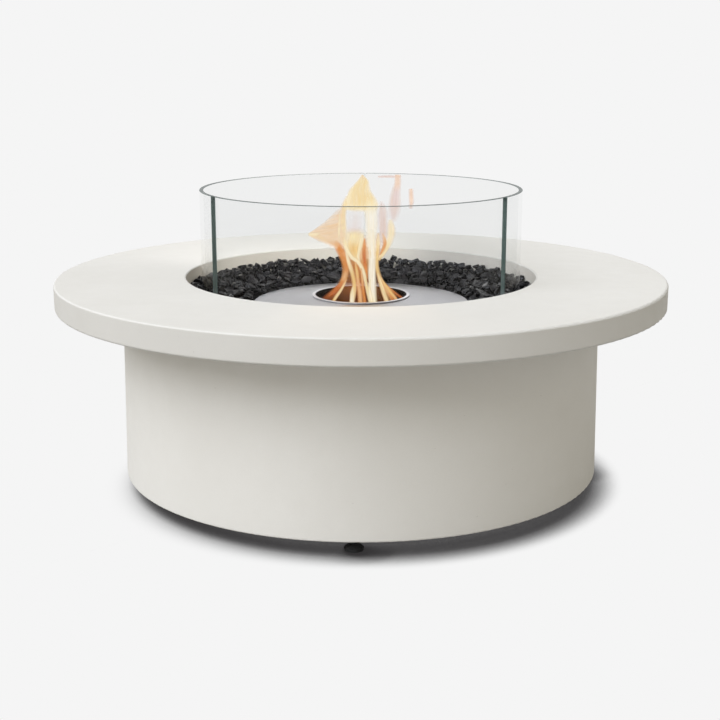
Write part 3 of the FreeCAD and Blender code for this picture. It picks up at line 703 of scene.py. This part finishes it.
class Pile:
    """Stones dropped on a height field between two radii until their tops reach a rising profile."""

    def __init__(self, rng, inner, outer, sizes, tries, floor_height, top_height):
        self.rng, self.inner, self.outer, self.tries = rng, inner, outer, tries
        self.top_height = top_height
        steps = np.arange(-FIELD_HALF, FIELD_HALF, CELL)
        x, y = np.meshgrid(steps, steps, indexing="ij")
        self.steps = steps
        self.field = floor_height(np.hypot(x, y))
        self.choose_stones(sizes, bevelled=True)
        self.placed = []

    def choose_stones(self, sizes, bevelled):
        """Makes the turned shapes that the next stones are picked from."""
        rng = self.rng
        self.poses = []
        for _ in range(STONE_SHAPES):
            shape = StoneShape(rng, bevelled)
            for _ in range(STONE_POSES):
                tilt = (rng.gauss(0, STONE_TILT), rng.gauss(0, STONE_TILT), rng.uniform(0, 2 * math.pi))
                self.poses.append(StonePose(shape, rng.uniform(*sizes), Euler(tilt).to_matrix()))

    def try_place(self, tolerance):
        """Drops a random stone at the lowest of a few places; says whether it stayed under the profile."""
        rng = self.rng
        pose = rng.choice(self.poses)
        best = None
        for _ in range(self.tries):
            radius = math.sqrt(rng.uniform(self.inner ** 2, self.outer ** 2))
            angle = rng.uniform(0, 2 * math.pi)
            column = int(round((radius * math.cos(angle) + FIELD_HALF) / CELL))
            row = int(round((radius * math.sin(angle) + FIELD_HALF) / CELL))
            place = np.array((self.steps[column], self.steps[row]))
            reach = np.hypot(*(pose.corners[:, :2] + place).T)
            if reach.min() < self.inner or reach.max() > self.outer:
                continue
            window = tuple(slice(middle - pose.reach, middle + pose.reach + 1) for middle in (column, row))
            height = (self.field[window] - pose.lower)[pose.inside].max()
            over = height + pose.tall - self.top_height(math.hypot(*place))
            if best is None or over < best[0]:
                best = (over, window, place, height)
        if best is None or best[0] > tolerance:
            return False
        _, window, place, height = best
        ground = self.field[window]
        ground[pose.inside] = np.maximum(ground, height + pose.upper)[pose.inside]
        self.placed.append((pose, Vector((*place, height))))
        return True

    def fill(self, patience, lowest, highest):
        """Adds stones until too many in a row find no place between two heights round the profile."""
        missed = 0
        while missed < patience:
            missed = 0 if self.try_place(self.rng.uniform(lowest, highest)) else missed + 1

    def build(self, name, body, *nodes):
        """Makes the placed stones one piece that stands for some CAD nodes."""
        vertices, faces, tones = [], [], []
        for pose, place in self.placed:
            start = len(vertices)
            turned = pose.shape.vertices * pose.size @ np.array(pose.turn).T + np.array(place)
            vertices.extend(turned)
            faces.extend([[start + n for n in face] for face in pose.shape.faces])
            tone = self.rng.uniform(0.0, STONE_TONE)
            for _ in pose.shape.faces:
                polished = self.rng.random() < POLISHED_CHANCE
                gloss = 1.0 if polished else DULL_GLOSS + GLOSS_RANGE * self.rng.random() ** GLOSS_POWER
                own_tone = tone + FACET_TONE * self.rng.random() ** 3
                tones.append((own_tone, self.rng.uniform(*FACET_ROUGHNESS), gloss, 1))
        piece = new_piece(name, vertices, faces, MATERIALS["black_charcoal_glass"], body)
        paint_facets(piece, tones)
        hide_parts(*nodes)


def bed_profile(radius):
    """The CAD bed's height at a radius; works on arrays."""
    share = (radius - COVER_RADIUS) / (TRAY_WALL - COVER_RADIUS)
    return BED_LOW_TOP + (BED_HIGH_TOP - BED_LOW_TOP) * share


def pile_floor(radius, depth):
    """Where the lowest stones rest: on the mound, and on the tray's turned-out edge beyond its wall."""
    floor = bed_profile(radius) - depth
    return np.where(radius > TRAY_WALL - CELL, np.maximum(floor, TRAY_TOP + 0.5 * MM), floor)


def charcoal_core(name, inner, outer, node, depth):
    """The lumpy dark mound of smaller fragments that the top stones lie on."""
    rng = np.random.default_rng(11)
    across = max(4, int((outer - inner) / CORE_CELL))
    floor_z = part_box(node)[0].z
    radii = np.linspace(inner, outer, across)
    vertices = []
    for angle in np.linspace(0, 2 * math.pi, CORE_STEPS, endpoint=False):
        for radius in radii:
            z = bed_profile(radius) - depth + rng.uniform(-CORE_LUMPS, CORE_LUMPS)
            vertices.append((radius * math.cos(angle), radius * math.sin(angle), z))
        vertices.append((outer * math.cos(angle), outer * math.sin(angle), floor_z))
        vertices.append((inner * math.cos(angle), inner * math.sin(angle), floor_z))
    ring = across + 2
    faces = []
    for n in range(CORE_STEPS):
        here, there = n * ring, (n + 1) % CORE_STEPS * ring
        for c in range(ring):
            after = (c + 1) % ring
            faces.append((here + c, there + c, there + after, here + after))
    piece = new_piece(name, vertices, faces, MATERIALS["black_charcoal_glass"], "table")
    paint_facets(piece, [CORE_FACET] * len(faces))
    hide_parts(node)


def charcoal():
    """Mound and stones, inside the screen and then outside it: large stones first, then chips between."""
    rng = random.Random(4)
    by_cover = COVER_RADIUS + COVER_GAP
    for side, inner, outer, core, sizes, depth, tries in (
        ("inner", by_cover, BED_INNER_END, (by_cover, BED_INNER_END), (13 * MM, 19 * MM), 24 * MM, 4),
        ("outer", GLASS_OUTER + CLEARANCE, OPENING - CLEARANCE, (CHANNEL_OUTER + CLEARANCE, TRAY_WALL),
         (11 * MM, 15.5 * MM), 14 * MM, 40),
    ):
        charcoal_core("charcoal_core_" + side, *core, "charcoal_bed_" + side, depth)
        pile = Pile(
            rng, inner, outer, sizes, tries,
            lambda radius: pile_floor(radius, depth),
            lambda radius: bed_profile(radius) + STONE_LAYER,
        )
        pile.fill(*LARGE_FILL)
        pile.choose_stones(CHIP_SIZES, bevelled=False)
        pile.fill(*CHIP_FILL)
        pile.build("charcoal_pieces_" + side, "table", "charcoal_stones_" + side)


# Flame: each tongue is (name, y, [(x, z, half width)...], core colours, opacities, edge colour), in mm
WHITE_HOT = (0.991, 0.939, 0.823)
CREAM = (0.965, 0.855, 0.604)
PALE_YELLOW = (0.947, 0.791, 0.479)
GOLD = (0.896, 0.631, 0.27)
PALE_GOLD = (0.896, 0.73, 0.423)
PEACH = (0.896, 0.672, 0.456)
APRICOT = (0.871, 0.515, 0.262)
ORANGE = (0.761, 0.314, 0.098)
DEEP_ORANGE = (0.604, 0.181, 0.051)
EMBER = (0.305, 0.076, 0.023)
SMOKE_PINK = (0.791, 0.638, 0.604)
SMOKE_PEACH = (0.896, 0.665, 0.515)

TONGUES = [
    ("veil", 10, [
        (-2, 367.9, 81.3), (-2, 383.1, 74.8), (-2, 396.1, 64), (-2, 411.3, 51.2), (-2, 430.7, 41.5),
        (-2.5, 450.1, 38.2), (-2, 467.3, 43.5), (-1, 484.4, 53), (-2, 499.3, 55), (-4.1, 514.2, 50.7),
    ], [EMBER, EMBER, DEEP_ORANGE, DEEP_ORANGE, ORANGE, ORANGE, APRICOT, APRICOT, PEACH, PEACH],
     [0.2, 0.25, 0.3, 0.35, 0.4, 0.65, 0.7, 0.6, 0.5, 0.1], ORANGE),
    ("left_band", 4, [
        (-53.7, 504.4, 4.2), (-47.4, 491.7, 10.6), (-40.1, 476.7, 11.8), (-33.8, 461.8, 10.6),
        (-31.7, 446.8, 9.3), (-34.3, 429.6, 8.5), (-41.4, 412.4, 8.1), (-53.2, 397.3, 8.5),
        (-68.2, 379.9, 9.4), (-86.3, 345, 8.5),
    ], [APRICOT] + [ORANGE] * 4 + [APRICOT, ORANGE, DEEP_ORANGE, EMBER, EMBER],
     [0.5, 0.95, 0.95, 0.9, 0.85, 0.8, 0.75, 0.6, 0.4, 0.28], ORANGE),
    ("centre", -2, [
        (-12.1, 533.8, 22.1), (-12.5, 520.1, 24.2), (-14.6, 507.4, 24.2), (-15.7, 492.6, 20),
        (-13.6, 479.8, 13.7), (-9.4, 467, 6.3),
    ], [SMOKE_PINK, PALE_YELLOW, PALE_YELLOW, GOLD, GOLD, PALE_YELLOW],
     [0.05, 0.8, 0.92, 0.9, 0.9, 0.7], PALE_YELLOW),
    ("centre_left", -4, [
        (-38.8, 516.1, 4.6), (-33.6, 501.3, 7.2), (-28.4, 486.5, 6.3), (-21, 473.7, 4.2),
    ], [PEACH] + [PALE_YELLOW] * 3, [0.4, 0.8, 0.8, 0.5], PALE_YELLOW),
    ("curl", -14, [
        (-35.5, 509.1, 2.1), (-31.4, 495.4, 4.2), (-25.9, 482.7, 4.8), (-17.8, 471.9, 5),
        (-8.3, 464.7, 5.3), (0.7, 453.4, 5.5), (6.8, 437, 5.1), (10.2, 419.9, 4.4), (14.1, 400.6, 4.4),
        (20.5, 374.8, 4.7), (24.9, 345, 4.2),
    ], [CREAM] * 7 + [PALE_YELLOW, PALE_YELLOW, CREAM, CREAM],
     [0.4, 0.9, 0.95, 0.95, 0.95, 0.95, 0.95, 0.9, 0.9, 0.95, 0.66], PALE_YELLOW),
    ("strand", -12, [
        (-31.4, 485.6, 2.5), (-27.3, 468.6, 4.8), (-22.2, 450.5, 5.9), (-16.8, 432.4, 5.9),
        (-13.4, 413.1, 6.1), (-15.6, 393.8, 6.4), (-19, 374.4, 6.4), (-22.1, 345, 5.8),
    ], [CREAM, CREAM, PALE_YELLOW, GOLD, GOLD, PALE_YELLOW, CREAM, CREAM],
     [0.6, 0.9, 0.9, 0.85, 0.9, 0.95, 0.95, 0.66], APRICOT),
    ("centre_right", -8, [
        (2.8, 520.9, 3.4), (0.1, 504, 5.3), (-3.3, 488.2, 4.8), (-5.6, 472.2, 4.2), (-2, 460.5, 2.7),
    ], [CREAM] * 5, [0.6, 0.85, 0.85, 0.85, 0.4], PALE_YELLOW),
    ("wedge", -10, [
        (8.1, 512.8, 1.7), (7.7, 495.9, 4.8), (6.8, 478.9, 5.3), (8.5, 461.9, 4.6), (11.5, 444.9, 3.4),
        (13.2, 425.6, 1.5),
    ], [ORANGE, ORANGE, DEEP_ORANGE, DEEP_ORANGE, ORANGE, ORANGE],
     [0.6, 0.9, 0.95, 0.95, 0.9, 0.4], ORANGE),
    ("column", -6, [
        (17.8, 596.1, 10.4), (20.6, 579.4, 15.5), (21.6, 560.6, 15.1), (21.7, 539.6, 14.7),
        (21.5, 520.6, 13), (22.4, 501.6, 11.8), (23.3, 482.5, 11),
    ], [PALE_YELLOW, CREAM] + [WHITE_HOT] * 5,
     [0.3, 0.8, 0.9, 0.92, 0.92, 0.9, 0.7], CREAM),
    ("white", -18, [
        (22, 532.8, 5.2), (22.3, 513.9, 7.9), (23.1, 492.8, 8.8), (23.6, 471.7, 9.9),
        (23.7, 450.5, 10.1), (23.7, 427, 9.9), (25, 403.5, 9.7), (26.8, 375.5, 9.7), (28, 345, 8.7),
    ], [WHITE_HOT] * 7 + [CREAM, CREAM],
     [0.3, 0.9, 1, 1, 1, 1, 1, 0.95, 0.66], CREAM),
    ("gold_streak", -22, [
        (19.5, 516.6, 1.7), (20.2, 501.9, 3.1), (20.8, 487.1, 2.7), (21.5, 472.3, 1.3),
    ], [GOLD] * 4, [0.4, 0.7, 0.7, 0.3], GOLD),
    ("right_border", 0, [
        (36.3, 521.9, 3.4), (35.9, 502.9, 5.3), (34.7, 483.8, 5.9), (33.1, 466.7, 5.9),
        (33.6, 449.6, 5.5), (37.8, 432.5, 5.7), (44.7, 415.3, 6.4), (54.1, 400.2, 6.8), (64, 385, 6.8),
        (70.4, 372, 6.4), (78.4, 345, 5.8),
    ], [PEACH, PALE_YELLOW] + [GOLD] * 4 + [APRICOT, APRICOT, ORANGE, DEEP_ORANGE, DEEP_ORANGE],
     [0.5, 0.85, 0.9, 0.9, 0.9, 0.9, 0.85, 0.8, 0.75, 0.6, 0.42], APRICOT),
    ("lick", -6, [
        (37.2, 465.5, 4.2), (45.6, 479.4, 6.7), (54.4, 493.2, 8), (61, 509, 9.2), (63.5, 525.9, 10.1),
        (63, 539.6, 8.8), (61.7, 551.2, 5),
    ], [GOLD, PALE_YELLOW, PALE_YELLOW] + [CREAM] * 4,
     [0.7, 0.9, 0.9, 0.9, 0.92, 0.85, 0.4], PEACH),
    ("lick_edge", -10, [
        (40.1, 476.8, 2.1), (46.8, 488.5, 5), (50.3, 500.1, 5.5), (49.6, 511.7, 4.6), (45, 523.3, 2.5),
    ], [ORANGE] * 3 + [APRICOT, APRICOT], [0.6, 0.85, 0.85, 0.7, 0.2], APRICOT),
    ("mauve", 8, [
        (46.6, 499.6, 6.3), (46.5, 518.7, 10.6), (46, 537.7, 12.6), (45.5, 556.7, 12.6),
        (44.2, 573.6, 10.5), (42.1, 588.3, 4.2),
    ], [SMOKE_PINK] * 6, [0.4, 0.7, 0.72, 0.7, 0.6, 0.1], SMOKE_PINK),
    ("wing", 6, [
        (-33.6, 534.6, 46.3), (-39.9, 532.9, 47.2), (-54.7, 526.6, 40), (-69.5, 522.6, 30.8),
        (-84.3, 520.5, 20.7), (-99, 518.1, 10.5), (-110.4, 517.7, 2.7),
    ], [PEACH] * 6 + [CREAM], [0.3, 0.75, 0.82, 0.84, 0.84, 0.85, 0.8], PEACH),
    ("wing_low", 2, [
        (-47.4, 494.1, 7.4), (-59, 499.4, 10.5), (-71.6, 505.8, 8.4), (-86.3, 512.1, 5.3),
        (-98.9, 515.3, 3.2),
    ], [APRICOT, APRICOT, PEACH, PALE_YELLOW, CREAM], [0.6, 0.5, 0.45, 0.5, 0.4], PEACH),
    ("wing_light", -4, [
        (-44.3, 566.6, 1.7), (-44.5, 549.8, 3.8), (-45.5, 530.9, 4.2), (-45.9, 514, 3.2),
        (-41.6, 499.2, 2.1),
    ], [CREAM] * 5, [0.3, 0.75, 0.8, 0.6, 0.3], PEACH),
    ("wing_tip", -6, [
        (-110.4, 519.4, 2.9), (-102.8, 518.5, 6.1), (-94.4, 519.2, 5.5), (-84.9, 522.3, 2.1),
    ], [CREAM] * 4, [0.6, 0.9, 0.8, 0.2], PEACH),
    ("left_column", 2, [
        (-34.5, 511.1, 6.3), (-36.5, 530.1, 7.6), (-37.3, 549.1, 7.8), (-36.4, 566.9, 8),
        (-33, 583.7, 8), (-27.9, 599.4, 5),
    ], [PEACH] + [PALE_YELLOW] * 5,
     [0.5, 0.7, 0.75, 0.8, 0.7, 0.3], PEACH),
    ("crown", 0, [
        (0.7, 567.2, 31.4), (-0.7, 577.7, 38.9), (0.1, 589.2, 36), (-0.1, 600.6, 31.8),
        (-0.7, 612.1, 25), (1.8, 622.5, 18.4), (4.1, 632.9, 11.3), (2.8, 643.6, 2.1),
    ], [CREAM, PALE_YELLOW] + [PALE_GOLD] * 5 + [PEACH],
     [0.1, 0.8, 0.9, 0.92, 0.9, 0.9, 0.85, 0.7], PALE_YELLOW),
    ("crown_light", -6, [
        (-25.4, 575.2, 3.3), (-24.9, 589.8, 5.4), (-21.6, 604.4, 4.8), (-14.5, 617.9, 2.1),
    ], [CREAM] * 4, [0.4, 0.75, 0.7, 0.2], PALE_YELLOW),
    ("crown_base", -4, [
        (-34.4, 575, 4.2), (-18.7, 574.6, 5.4), (-2, 574.2, 5.4), (14.7, 575.8, 6.7), (31.5, 579.2, 4.2),
    ], [CREAM] * 5, [0.4, 0.6, 0.6, 0.7, 0.4], PALE_YELLOW),
    ("ghost_post", 10, [
        (76.1, 645.4, 8.4), (76.1, 625.6, 8.8), (73.5, 606.9, 11.7), (70.6, 585.9, 14.7),
        (69.1, 564.9, 14.7), (67.5, 543.8, 10.5),
    ], [SMOKE_PEACH, SMOKE_PEACH] + [SMOKE_PINK] * 4,
     [0.8, 0.85, 0.82, 0.78, 0.6, 0.1], SMOKE_PINK),
    ("ghost_bar", 12, [
        (35.2, 638.8, 2.9), (50.3, 639.2, 3.3), (67, 639.2, 3.3), (82.9, 639.2, 2.9),
    ], [SMOKE_PINK] * 4, [0.6, 0.75, 0.75, 0.75], SMOKE_PINK),
    ("ghost_spot", 12, [
        (104.9, 614, 6.1), (105, 600.4, 6.5), (105.2, 585.7, 6.5), (104, 572, 5),
    ], [SMOKE_PEACH] * 3 + [SMOKE_PINK], [0.7, 0.85, 0.8, 0.5], SMOKE_PINK),
    ("hole_haze", 14, [
        (-12.5, 577.1, 18.9), (-12.5, 560.2, 21.1), (-13.4, 541.2, 22.2), (-14.7, 524.2, 23.3),
        (-14.7, 509.3, 21.2),
    ], [SMOKE_PINK] * 5, [0, 0.12, 0.2, 0.3, 0.2], SMOKE_PINK),
    ("foot_gold", -26, [
        (-29.3, 428.4, 1.7), (-34.8, 416.7, 2.9), (-43.1, 402.8, 4), (-51.6, 390, 4.4),
        (-59, 377.1, 4.2), (-70, 345, 3.8),
    ], [APRICOT] + [PALE_YELLOW] * 3 + [GOLD, GOLD],
     [0.4, 0.9, 0.95, 0.95, 0.8, 0.56], ORANGE),
    ("foot_left", -16, [
        (-37.9, 422.4, 3), (-48.5, 408.5, 6.3), (-62.3, 395.6, 7.2), (-78.2, 382.7, 6.4),
        (-106.1, 345, 5.8),
    ], [ORANGE, DEEP_ORANGE, DEEP_ORANGE, EMBER, EMBER], [0.5, 0.7, 0.6, 0.45, 0.32], EMBER),
    ("foot_mid", -22, [
        (-11.4, 463.9, 2.7), (-8.3, 444.8, 4.6), (-5.4, 423.5, 5.3), (-2.4, 402.1, 6.3),
        (-0.3, 376.3, 6.8), (1.2, 345, 6.1),
    ], [APRICOT, GOLD] + [APRICOT] * 4, [0.5, 0.85, 0.85, 0.85, 0.8, 0.56], ORANGE),
    ("foot_mid_right", -20, [
        (0.9, 450.8, 2.1), (3, 427.4, 3.6), (5.2, 401.7, 4.2), (8.6, 375.9, 4.7), (11, 345, 4.2),
    ], [APRICOT, APRICOT] + [ORANGE] * 3, [0.6, 0.85, 0.8, 0.75, 0.52], DEEP_ORANGE),
    ("foot_bright", -30, [
        (-16.7, 412.1, 2.1), (-17.6, 397.1, 5.3), (-18.4, 377.9, 5.5), (-19.2, 345, 5),
    ], [CREAM, CREAM, WHITE_HOT, WHITE_HOT], [0.3, 0.95, 0.95, 0.66], PALE_YELLOW),
    ("foot_white", -30, [
        (21.1, 429.1, 1.7), (18.2, 410, 3.4), (20.7, 392.9, 4.2), (23.3, 377.9, 4.2), (26.7, 345, 3.8),
    ], [CREAM, CREAM, WHITE_HOT, CREAM, CREAM], [0.4, 0.9, 0.95, 0.9, 0.63], PALE_YELLOW),
    ("foot_right", -24, [
        (35.8, 440.8, 2.5), (41.3, 421.7, 5.5), (48.2, 400.3, 6.7), (56.3, 376.7, 6.8), (62.8, 345, 6.1),
    ], [PALE_YELLOW] * 5, [0.5, 0.9, 0.9, 0.85, 0.59], ORANGE),
    ("foot_far_right", -14, [
        (40.2, 432.7, 2.1), (51.7, 414.5, 3.8), (63.6, 398.4, 4.4), (76.4, 381.2, 4.2), (92.6, 345, 3.8),
    ], [PALE_YELLOW, GOLD, GOLD, APRICOT, APRICOT], [0.5, 0.9, 0.9, 0.8, 0.56], ORANGE),
    ("foot_edge", -8, [
        (48.8, 418.8, 1.7), (63.7, 403.8, 3.4), (77.8, 391.7, 4), (89.3, 382.2, 3.8), (116.3, 345, 3.4),
    ], [ORANGE, ORANGE] + [DEEP_ORANGE] * 3, [0.4, 0.7, 0.65, 0.5, 0.35], EMBER),
]
FLAME_STEPS = 46
FLAME_ACROSS = 12
FLAME_SHEETS = (0, 62, 118)
FLAME_TOP = 643.5
THINNEST = 0.3
DEEPEST_SHEET = 26
WIDEST_BOW = 20
BOW = 0.25
LEAN, LEAN_WAVE = 0.25, 0.02
SWAY, SWAY_WAVE = 2.5, 0.03
RIPPLE, RIPPLE_WAVE = 0.06, 0.11
SIDE_SHEET_SHARE = 0.5
EDGE_CRISPNESS = 1.12
BROAD_CRISPNESS = 2.4
FIXED_ACROSS = {"wing": (0, 1), "crown": (1, 0)}


def smooth_through(values, steps):
    """A smooth curve through rows of values, sampled evenly in its parameter."""
    rows = np.array([values[0], *values, values[-1]], float)
    out = []
    for t in np.linspace(0, len(values) - 1, steps):
        n = min(int(t), len(values) - 2)
        u = t - n
        a, b, c, d = rows[n:n + 4]
        bend = (2 * a - 5 * b + 4 * c - d) * u ** 2 + (3 * b - a - 3 * c + d) * u ** 3
        out.append(0.5 * (2 * b + (c - a) * u + bend))
    return np.array(out)


def flame():
    """Crossed sheets along each tongue, clear at their edges and brightest along the middle."""
    rng = np.random.default_rng(7)
    vertices, faces, paints, flows = [], [], [], []
    for number, (name, y, points, colours, opacities, edge_colour) in enumerate(TONGUES):
        path = smooth_through(points, FLAME_STEPS)
        paint = smooth_through([(*c, a) for c, a in zip(colours, opacities)], FLAME_STEPS)
        ends = np.gradient(path[:, :2], axis=0)
        ends /= np.linalg.norm(ends, axis=1)[:, None]
        steps = np.linalg.norm(np.diff(path[:, :2], axis=0), axis=1)
        lengths = np.concatenate([[0], np.cumsum(steps)])
        wave = rng.uniform(0, 2 * math.pi, 3)
        crispness = BROAD_CRISPNESS if name in FIXED_ACROSS else EDGE_CRISPNESS
        for sheet, tilt in enumerate(FLAME_SHEETS):
            start = len(vertices)
            for n, (x, z, half) in enumerate(path):
                half = max(half, THINNEST)
                across = FIXED_ACROSS.get(name, (ends[n][1], -ends[n][0]))
                lean = math.radians(tilt) + LEAN * math.sin(wave[0] + LEAN_WAVE * lengths[n])
                sway = SWAY * math.sin(wave[1] + SWAY_WAVE * lengths[n])
                for u in np.linspace(-1, 1, FLAME_ACROSS + 1):
                    ripple = 1 + RIPPLE * math.sin(wave[2] + RIPPLE_WAVE * lengths[n] + 2 * u)
                    wide = half * u * math.cos(lean) * ripple
                    bow = BOW * min(half, WIDEST_BOW) * (u * u - 0.5)
                    deep = min(half, DEEPEST_SHEET) * u * math.sin(lean) + bow
                    height = min(z + across[1] * wide, FLAME_TOP)
                    vertices.append(((x + across[0] * wide) * MM, (y + sway + deep) * MM, height * MM))
                    body = 1 - u * u
                    core = paint[n][:3] * body + np.array(edge_colour) * (1 - body)
                    sheet_share = 1.0 if sheet == 0 else SIDE_SHEET_SHARE
                    solid = paint[n][3] * min(1, crispness * body) * sheet_share
                    paints.append((*np.clip(core, 0, 1), float(np.clip(solid, 0, 1))))
                    flows.append((u * half * MM, lengths[n] * MM, number + 0.3 * sheet))
            width = FLAME_ACROSS + 1
            for n in range(FLAME_STEPS - 1):
                for c in range(FLAME_ACROSS):
                    here = start + n * width + c
                    faces.append((here, here + 1, here + width + 1, here + width))
    piece = new_piece("flame", vertices, faces, FLAME, "burner")
    colour = piece.data.color_attributes.new("flame_colour", "FLOAT_COLOR", "POINT")
    colour.data.foreach_set("color", np.array(paints, dtype=np.float32).ravel())
    flow = piece.data.attributes.new("flame_flow", "FLOAT_VECTOR", "POINT")
    flow.data.foreach_set("vector", np.array(flows, dtype=np.float32).ravel())
    piece.data.shade_smooth()
    piece.visible_shadow = False


def stage():
    """A pale floor in the backdrop's white that runs to the horizon, with a shadow painted close to the
    drum.
    """
    material, tree = new_material("floor")
    _, seen = seen_directly(tree)
    lit = add(tree, "BsdfDiffuse", {"Color": FLOOR_BOUNCE})
    lean = add(tree, "CombineXYZ", dict(zip("XYZ", SHADE_LEAN))).outputs[0]
    near, wide = (
        add(tree, "AmbientOcclusion", inputs, samples=SHADE_SAMPLES).outputs["AO"]
        for inputs in ({"Distance": CONTACT_REACH, "Normal": lean}, {"Distance": GAP_REACH})
    )
    rising = add(tree, "MapRange", {
        "Value": near, "From Min": CONTACT_CORE, "From Max": 1.0,
    }, clamp=True, interpolation_type="SMOOTHSTEP").outputs["Result"]
    shade = math_node(tree, "POWER", rising, CONTACT_DEPTH)
    shade = math_node(tree, "MULTIPLY", shade, spread_to(tree, wide, GAP_DARKEST, 1.0, *GAP_OPENS))
    plain = add(tree, "Emission", {"Color": mix_colour(tree, shade, DEEPEST_SHADE, BACKDROP_WHITE)})
    finish_material(tree, mix_shaders(tree, seen, lit, plain))
    half = FLOOR_SIZE / 2
    corners = [(-half, -half, 0), (half, -half, 0), (half, half, 0), (-half, half, 0)]
    mesh = bpy.data.meshes.new("floor")
    mesh.from_pydata(corners, [], [(0, 1, 2, 3)])
    mesh.materials.append(material)
    into_scene("floor", mesh)


def light():
    """A soft studio: an even ambient light, one broad key from the left and the flame's own glow."""
    world = bpy.data.worlds.new("studio")
    world.use_nodes = True
    tree = world.node_tree
    tree.nodes.clear()
    path, seen = seen_directly(tree)
    heading = split(tree, add(tree, "TexCoord").outputs["Generated"])
    behind = spread_to(tree, heading.outputs["Y"], 0, 1, *STUDIO_TURN)
    mirrored = mix_colour(tree, behind, STUDIO_FRONT, BACKDROP_WHITE)
    shown = mix_colour(tree, path.outputs["Is Glossy Ray"], BACKDROP_WHITE, mirrored)
    sky = add(tree, "Background", {"Color": mix_colour(tree, seen, AMBIENT, shown)})
    tree.links.new(sky.outputs[0], add(tree, "OutputWorld").inputs["Surface"])
    bpy.context.scene.world = world

    sun = bpy.data.lights.new("key", "SUN")
    sun.energy = SUN_STRENGTH
    sun.angle = SUN_SPREAD
    sun.color = SUN_COLOUR
    into_scene("key", sun).rotation_euler = SUN_TOWARDS.to_track_quat("Z", "Y").to_euler()

    flame_glow("flame_glow_front", **FRONT_GLOW)
    flame_glow("flame_glow_back", **BACK_GLOW)


def flame_glow(name, place, towards, watts, cone, colour):
    """The light that the flame throws to one side."""
    bulb = bpy.data.lights.new(name, "SPOT")
    bulb.energy = watts
    bulb.color = colour
    bulb.shadow_soft_size = GLOW_SIZE
    bulb.spot_size = cone
    bulb.spot_blend = 1
    glow = into_scene(name, bulb)
    glow.location = place
    glow.rotation_euler = (-towards).to_track_quat("Z", "Y").to_euler()
    glow.visible_camera = False
    glow.visible_glossy = False
    glow.visible_transmission = False


def camera():
    lens = bpy.data.cameras.new("camera")
    lens.sensor_width = SENSOR_MM
    lens.lens = SENSOR_MM * FOCAL_PIXELS / FRAME_PIXELS
    lens.clip_end = VIEW_END
    lens.shift_x = -(AXIS_PIXEL - FRAME_PIXELS / 2) / FRAME_PIXELS
    view = into_scene("camera", lens)
    aside, back = CAMERA_DISTANCE * math.sin(CAMERA_TURN), CAMERA_DISTANCE * math.cos(CAMERA_TURN)
    view.location = (aside, -back, CAMERA_HEIGHT)
    view.rotation_euler = (math.pi / 2 - CAMERA_PITCH, 0, CAMERA_TURN)
    bpy.context.scene.camera = view


camera()
light()
stage()
dress_nodes()
for side, middle in PANEL_TURNS.items():
    glass_panel(side, middle)
charcoal()
flame()

scene = bpy.context.scene
scene.view_settings.view_transform = "Standard"
scene.cycles.transparent_max_bounces = 64
scene.cycles.max_bounces = 16
scene.cycles.transmission_bounces = 12
